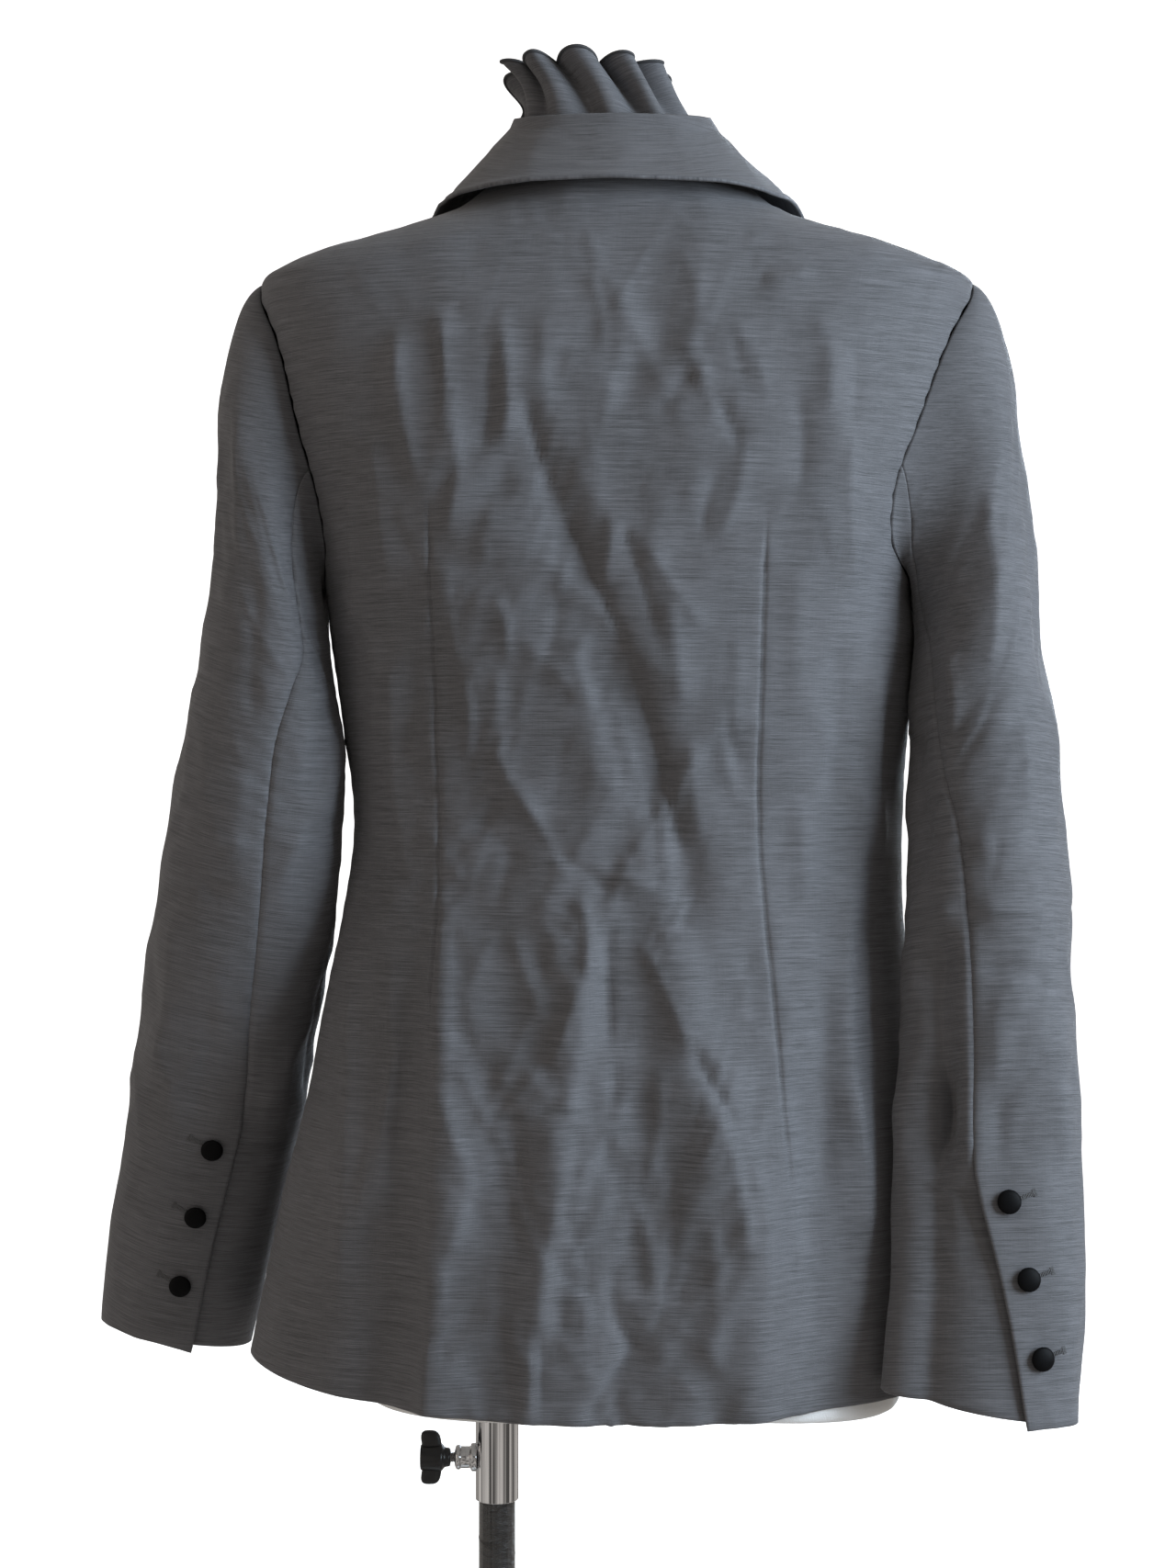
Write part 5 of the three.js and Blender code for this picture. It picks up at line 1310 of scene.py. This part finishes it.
def make_cuff_buttons(name):
    """The three buttons beside a sleeve's vent, each with its buttonhole."""
    sleeve = SLEEVES[name]
    span = SLEEVE_TOP - sleeve["cuff_outer"]
    for i in range(3):
        height = sleeve["cuff_outer"] + CUFF_BUTTON_FIRST - CUFF_BUTTON_PITCH * i
        share = np.array([(SLEEVE_TOP - height) / span])
        around = back_seam(sleeve, share) - CUFF_BUTTON_FROM_EDGE * ARM_GIRTH_TURN
        place = sleeve_point(sleeve, share, around, sleeve_lift(name, "upper", share, around))[0]
        normal = sleeve_normal(sleeve, share, around)[0]
        node = f"button_cuff_{name}_{i + 1}"
        make_button(node, CUFF_BUTTON_RADIUS, 2.2, 1.3, place, normal, 1.0)
        reach = np.linspace(-2, 11.5, 12)
        holes = np.broadcast_to(share, reach.shape) - reach * 0.45 / span
        turns = around - reach * ARM_GIRTH_TURN * 0.96
        path = sleeve_point(sleeve, holes, turns, sleeve_lift(name, "upper", holes, turns) + 0.2)
        make_buttonhole(f"buttonhole_cuff_{name}_{i + 1}", path, normal)


def make_front_buttons():
    """The six front buttons, the outer column of them with buttonholes."""
    for i, height in enumerate(FRONT_BUTTON_HEIGHTS):
        for x, column in ((FRONT_BUTTON_OUT, "inner"), (-FRONT_BUTTON_OUT, "outer")):
            place, normal = front_point(-1, np.array([float(x)]), np.array([float(height)]), np.zeros(1))
            row = ("top", "middle", "low")[i]
            make_button(f"button_front_{row}_{column}", FRONT_BUTTON_RADIUS, 2.6, 1.4, place[0], normal[0], 1.2)
        reach = np.linspace(0, 15.5, 10)
        path, normals = front_point(-1, FRONT_BUTTON_OUT - reach, np.full(reach.shape, float(height)),
                                    np.full(reach.shape, 0.5))
        make_buttonhole(f"buttonhole_front_{row}", path, normals[0])


# ---- the form and the stand ----
def make_form():
    """The padded form, rounded at its hips, shoulders and short neck."""
    turn = np.linspace(0, 360, 120, endpoint=False)[None, :]
    rings = [oval(*(rows[name] for name in ("width", "back", "front", "shift", "square")), turn, rows["height"])
             for rows in rows_of(HIPS)]
    rings += [bare_torso(turn, np.full(turn.shape, row["height"]))
              - torso_normal(turn, np.full(turn.shape, row["height"])) * row["ease"] for row in rows_of(SHOULDERS)]
    rings += [oval(row["width"], row["back"], row["front"], 0, 0, turn, row["height"]) for row in rows_of(NECK)]
    rings = np.concatenate([np.broadcast_to(ring, (1, turn.shape[1], 3)) for ring in rings])
    key = np.concatenate([[0], np.cumsum(np.linalg.norm(np.diff(rings, axis=0), axis=2).mean(axis=1))])
    fine = np.concatenate([np.linspace(a, b, 5)[:-1] for a, b in zip(key, key[1:])] + [key[-1:]])
    columns = {str(i): rings.reshape(len(rings), -1)[:, i] for i in range(rings[0].size)}
    columns["run"] = key
    grid = np.stack([read(columns, str(i), fine, "run") for i in range(rings[0].size)], axis=1)
    grid = grid.reshape(len(fine), -1, 3)
    count = grid.shape[1]
    axis = np.array([POLE_OFF_CENTRE, 0, 0])
    bore = axis + unit((grid[0] - axis) * np.array([1, 1, 0])) * 12.6
    bore_end = UP * 308
    points = np.concatenate([
        grid.reshape(-1, 3), bore + UP * grid[0, :, 2].mean(), bore + bore_end,
        [axis + bore_end], [grid[-1].mean(axis=0) + UP * 0.8]])
    number = np.arange(len(fine) * count).reshape(len(fine), count)
    after = np.roll(number, -1, axis=1)
    faces = np.stack([after[:-1], number[:-1], number[1:], after[1:]], axis=-1).reshape(-1, 4).tolist()
    bottom, top = len(points) - 2, len(points) - 1
    for outer, inner in ((0, number.size), (number.size, number.size + count)):
        faces += [[inner + a, outer + a, outer + b, inner + b] for a, b in zip(number[0], after[0])]
    faces += [[bottom, number.size + count + a, number.size + count + b] for a, b in zip(number[0], after[0])]
    faces += [[top, b, a] for a, b in zip(number[-1], after[-1])]
    low = 1 - smooth(points[:, 2], points[:, 2].min() + 4, points[:, 2].min() + 34)
    points[:, 2] += low * (2.6 - 0.06 * np.maximum(-80 - points[:, 0], 0))
    form = make_piece("form_cover", to_metres(points), faces, form_cover())
    return finish_piece(form, "form_torso", 60)


def pole_at(height):
    """A place on the pole's axis in the garment's frame, at a height above the floor."""
    return (POLE_OFF_CENTRE, 0, height - HEM_ABOVE_FLOOR)


def lobe(centre, half, power=0.62, steps=20):
    """Points and faces of a softly squared lump."""
    def bend(value):
        return np.sign(value) * np.abs(value) ** power
    up = np.linspace(-np.pi / 2, np.pi / 2, steps)[1:-1, None]
    round_it = np.linspace(0, 2 * np.pi, 2 * steps, endpoint=False)[None, :]
    body = stack(bend(np.cos(up)) * bend(np.cos(round_it)), bend(np.cos(up)) * bend(np.sin(round_it)), bend(np.sin(up)))
    points = np.concatenate([body.reshape(-1, 3), [[0, 0, -1.0]], [[0, 0, 1.0]]]) * half + centre
    number = np.arange(body.shape[0] * body.shape[1]).reshape(body.shape[:2])
    after = np.roll(number, -1, axis=1)
    faces = np.stack([number[:-1], after[:-1], after[1:], number[1:]], axis=-1).reshape(-1, 4).tolist()
    low, high = number.size, number.size + 1
    faces += [[low, b, a] for a, b in zip(number[0], after[0])]
    faces += [[high, a, b] for a, b in zip(number[-1], after[-1])]
    return points, faces


def make_stand():
    """The base and hub, the film-wound pole, and the plated tube with its clamp and wing knob."""
    turned_piece("base_plate", [(0, 0), (164, 0), (165, 1), (165, 5), (162, 8), (0, 8)], 128, base_paint(), "stand",
                 "base", at=pole_at(0), corner=1.2)
    turned_piece("base_collar", [(11.1, 20), (11.1, 8.3), (24, 8.3), (24, 14.3), (15, 22.3), (15, 50.3), (11.1, 50.3),
                                 (11.1, 20)], 72, chrome(), "stand", "base_hub", at=pole_at(0), corner=1.0)
    turned_piece("pole_rod", [(0, 8.3), (10.6, 8.3), (10.6, 760), (0, 760)], 64, pole_film(), "pole", "pole",
                 at=pole_at(0), corner=0.8)
    film = grow("pole_film_edge", film_tree(), [(0, 0, 0), (0, 0, 0.001)], "pole", Pole_radius=0.01045, Turns=23.0,
                Height=0.45, Edge=0.00045, Film=pole_film())
    shifted = np.array([v.co for v in film.data.vertices]) + np.array([0, 0, 0.055])
    film.data.vertices.foreach_set("co", shifted.astype(np.float32).ravel())
    turned_piece("plated_tube", [(11.25, 100), (11.25, -73), (12.5, -73), (12.5, 307), (11.25, 307), (11.25, 100)], 72,
                 chrome(), "form", "tube", at=(POLE_OFF_CENTRE, 0, 0), corner=0.4)
    x_axis = (1, 0, 0)
    clamp = (POLE_OFF_CENTRE, 0, CLAMP_HEIGHT)
    turned_piece("clamp_nut", [(3.3, 15), (3.3, 11.5), (8, 11.5), (8, 15), (6.2, 15.4), (6.2, 21), (7, 21.4), (7, 23.6),
                               (5, 24.5), (3.3, 24.5), (3.3, 15)], 48,
                 chrome(), "form", "clamp_boss", at=clamp, along=x_axis, corner=0.9)
    ridged = [(3.0 if i % 2 else 2.6, 12 + i * 0.45) for i in range(43)]
    turned_piece("clamp_screw", [(0, 11.6), (2.6, 11.6), *ridged, (0, 31.2)], 24, chrome(), "knob", "knob_screw",
                 at=clamp, along=x_axis, corner=0.05)
    hub, hub_faces = turned_faces(soft_corners([(0, 27), (5.2, 27), (5.6, 30.5), (8, 32), (7.4, 44.5), (0, 44.5)], 1.2), 40)
    hub = looking_along(hub, x_axis)
    parts, faces, count = [hub], list(hub_faces), len(hub)
    for sign in (1, -1):
        points, lobe_faces = lobe(np.array([38.2, 0, sign * 8.6]), np.array([5.8, 3.0, 7.0]))
        points[:, 0] += 0.16 * (np.abs(points[:, 2]) - 9)
        parts.append(points)
        faces += [[i + count for i in face] for face in lobe_faces]
        count += len(points)
    knob = make_piece("wing_knob", to_metres(np.concatenate(parts) + np.array(clamp)), faces, knob_plastic(), "knob")
    finish_piece(knob, "knob_grip", 50)


# ---- the stage ----
def add_light(name, place, aim, size, watts, colour):
    """A soft square light that looks at a point."""
    light = bpy.data.lights.new(name, "AREA")
    light.shape, light.size, light.size_y = "RECTANGLE", size[0], size[1]
    light.energy, light.color = watts, colour
    holder = bpy.data.objects.new(name, light)
    holder.location = place
    holder.rotation_euler = (Vector(aim) - Vector(place)).to_track_quat("-Z", "Y").to_euler()
    holder.visible_camera = False
    bpy.context.collection.objects.link(holder)


def make_stage():
    """A pale bowl-shaped backdrop, a large cool window light, a weak warm fill, and the camera."""
    sizes = bpy.context.scene.blazer_light
    angles = np.linspace(0, 90, 16)
    curve = [(7000 + 2000 * math.sin(math.radians(a)), 2000 - 2000 * math.cos(math.radians(a))) for a in angles]
    points, faces = turned_faces([(0, 0), (900, 0), *curve, (9000, 9000)], 96)
    mesh = bpy.data.meshes.new("backdrop")
    mesh.from_pydata([tuple(p / 1000) for p in points], [], faces)
    mesh.polygons.foreach_set("use_smooth", np.ones(len(mesh.polygons), dtype=bool))
    backdrop = bpy.data.objects.new("backdrop", mesh)
    material, tree, shader = new_material("backdrop", 0.9)
    shader.inputs["Emission Color"].default_value = (1, 1, 1, 1)
    place = tree.nodes.new("ShaderNodeTexCoord").outputs["Object"]
    # The backdrop's glow drops to 0.35 within 0.3 m of its middle, under the stand, and rises to full by 1.2 m: a
    # painted shadow on the floor.
    reach = add_node(tree, "ShaderNodeVectorMath", {"Vector": place}, operation="LENGTH").outputs["Value"]
    glow = add_node(tree, "ShaderNodeMapRange", {
        "Value": reach, "From Min": 0.3, "From Max": 1.2, "To Min": 0.35, "To Max": sizes.backdrop_glow})
    tree.links.new(glow.outputs[0], shader.inputs["Emission Strength"])
    mesh.materials.append(material)
    bpy.context.collection.objects.link(backdrop)
    backdrop.visible_diffuse = backdrop.visible_glossy = False
    aim = (-0.07, 0.05, 0.95)
    add_light("window", (-1.9, 0.95, 1.45), aim, (1.0, 1.5), sizes.window_watts, sizes.window_colour)
    add_light("room", (1.9, 1.2, 1.2), aim, (1.2, 1.4), sizes.room_watts, sizes.room_colour)
    add_light("far_window", (-1.1, -2.4, 1.7), aim, (1.2, 1.4), sizes.far_watts, sizes.window_colour)
    world = bpy.data.worlds.new("studio")
    world.use_nodes = True
    sky = world.node_tree.nodes["Background"]
    direction = world.node_tree.nodes.new("ShaderNodeTexCoord").outputs["Generated"]
    room = noise_on(world.node_tree, direction, (4.5, 4.5, 0.7), 1.0)
    walls = add_node(world.node_tree, "ShaderNodeMapRange", {
        "Value": room, "From Min": 0.38, "From Max": 0.62, "To Min": 0.0, "To Max": 1.0}).outputs[0]
    dark = tuple(c * 0.25 for c in sizes.air_colour)
    light = tuple(c * 1.75 for c in sizes.air_colour)
    world.node_tree.links.new(mix_colours(world.node_tree, walls, dark, light), sky.inputs["Color"])
    sky.inputs["Strength"].default_value = sizes.air_strength
    bpy.context.scene.world = world
    bpy.context.scene.view_settings.view_transform = "Standard"
    camera = bpy.data.cameras.new("camera")
    camera.lens, camera.sensor_width = 55.19, 36
    holder = bpy.data.objects.new("camera", camera)
    holder.location = (-0.053, 1.4, 0.943)
    holder.rotation_euler = (math.pi / 2, 0, math.pi)
    bpy.context.collection.objects.link(holder)
    bpy.context.scene.camera = holder


# ---- settings, operators and panel ----
def colour(label, words, value):
    """A colour setting."""
    return bpy.props.FloatVectorProperty(
        name=label, description=words, default=value, subtype="COLOR", size=3, min=0, max=4)


class BlazerCloth(bpy.types.PropertyGroup):
    """Colours and relief of the suiting."""
    dark_thread: colour("Dark thread", "Colour of the darkest streaks", (0.070, 0.071, 0.075))
    light_thread: colour("Light thread", "Colour of the lightest streaks", (0.162, 0.162, 0.175))
    streak_length: bpy.props.FloatProperty(
        name="Streak length", description="Mean length of a streak along the weft", default=0.034, unit="LENGTH")
    streak_width: bpy.props.FloatProperty(
        name="Streak width", description="Mean width of a streak", default=0.00055, unit="LENGTH")
    crease_depth: bpy.props.FloatProperty(
        name="Crease depth", description="How deep the pressed and hung creases are", default=1.45, subtype="FACTOR")
    rumple_depth: bpy.props.FloatProperty(
        name="Rumple depth", description="How uneven the cloth is between creases", default=1.0, subtype="FACTOR")


class BlazerLight(bpy.types.PropertyGroup):
    """The studio's lights."""
    window_watts: bpy.props.FloatProperty(
        name="Window", description="Power of the large cool light", default=66, unit="POWER")
    window_colour: colour("Window colour", "Colour of the large light", (0.74, 0.87, 1.0))
    far_watts: bpy.props.FloatProperty(
        name="Far window", description="Power of the light on the blazer's front", default=42, unit="POWER")
    room_watts: bpy.props.FloatProperty(
        name="Room", description="Power of the weak warm light", default=4, unit="POWER")
    room_colour: colour("Room colour", "Colour of the weak light", (1.0, 0.86, 0.74))
    air_strength: bpy.props.FloatProperty(name="Air", description="Strength of the light all round", default=0.37)
    air_colour: colour("Air colour", "Colour of the light all round", (1.0, 0.94, 0.88))
    backdrop_glow: bpy.props.FloatProperty(
        name="Backdrop glow", description="Light given off by the backdrop behind the blazer", default=1.0)


def operator(name, label, words, *jobs):
    """An operator class that runs jobs in order."""
    def execute(self, context):
        for job, *arguments in jobs:
            job(*arguments)
        return {"FINISHED"}
    return type("BLAZER_OT_" + name, (bpy.types.Operator,), {
        "bl_idname": "blazer." + name, "bl_label": label, "__doc__": words, "execute": execute})


OPERATORS = (
    operator("stage", "Make the stage", "Backdrop, lights and camera", (make_stage,)),
    operator("stand", "Make the stand", "Base, pole, tube, clamp and knob", (make_stand,)),
    operator("form", "Make the form", "The padded form", (make_form,)),
    operator("back", "Make the back", "The back with its darts and creases", (make_back,)),
    operator("fronts", "Make the fronts", "Both fronts", (make_front, 1, "front_left"), (make_front, -1, "front_right")),
    operator("lapels", "Make the lapels", "Both lapels", (make_lapel, 1, "lapel_left"), (make_lapel, -1, "lapel_right")),
    operator("collar", "Make the collar", "The fold-over collar", (make_collar,)),
    operator("ruffle", "Make the frill", "The pleated frill and its rolled edge", (make_ruffle,)),
    operator("sleeves", "Make the sleeves", "Upper and under sleeves", (make_sleeve, "left", "upper"),
             (make_sleeve, "left", "under"), (make_sleeve, "right", "upper"), (make_sleeve, "right", "under")),
    operator("cuff_buttons", "Make the cuff buttons", "Cuff buttons and their buttonholes",
             (make_cuff_buttons, "left"), (make_cuff_buttons, "right")),
    operator("front_buttons", "Make the front buttons", "Front buttons and their buttonholes", (make_front_buttons,)),
)


class BLAZER_PT_pieces(bpy.types.Panel):
    """The sidebar's list of pieces and settings."""
    bl_label = "Blazer"
    bl_space_type = "VIEW_3D"
    bl_region_type = "UI"
    bl_category = "Blazer"

    def draw(self, context):
        for group in (context.scene.blazer_cloth, context.scene.blazer_light):
            for name in group.__annotations__:
                self.layout.prop(group, name)
        for made in OPERATORS:
            self.layout.operator(made.bl_idname)


CLASSES = (BlazerCloth, BlazerLight, *OPERATORS, BLAZER_PT_pieces)


def register():
    """Adds the settings, the operators and the panel."""
    for made in CLASSES:
        bpy.utils.register_class(made)
    bpy.types.Scene.blazer_cloth = bpy.props.PointerProperty(type=BlazerCloth)
    bpy.types.Scene.blazer_light = bpy.props.PointerProperty(type=BlazerLight)


def unregister():
    """Takes them away again."""
    del bpy.types.Scene.blazer_cloth
    del bpy.types.Scene.blazer_light
    for made in reversed(CLASSES):
        bpy.utils.unregister_class(made)


def main():
    """Makes every piece and writes the model's box before and after."""
    register()
    for made in OPERATORS:
        group, name = made.bl_idname.split(".")
        getattr(getattr(bpy.ops, group), name)()


if __name__ == "__main__":
    main()
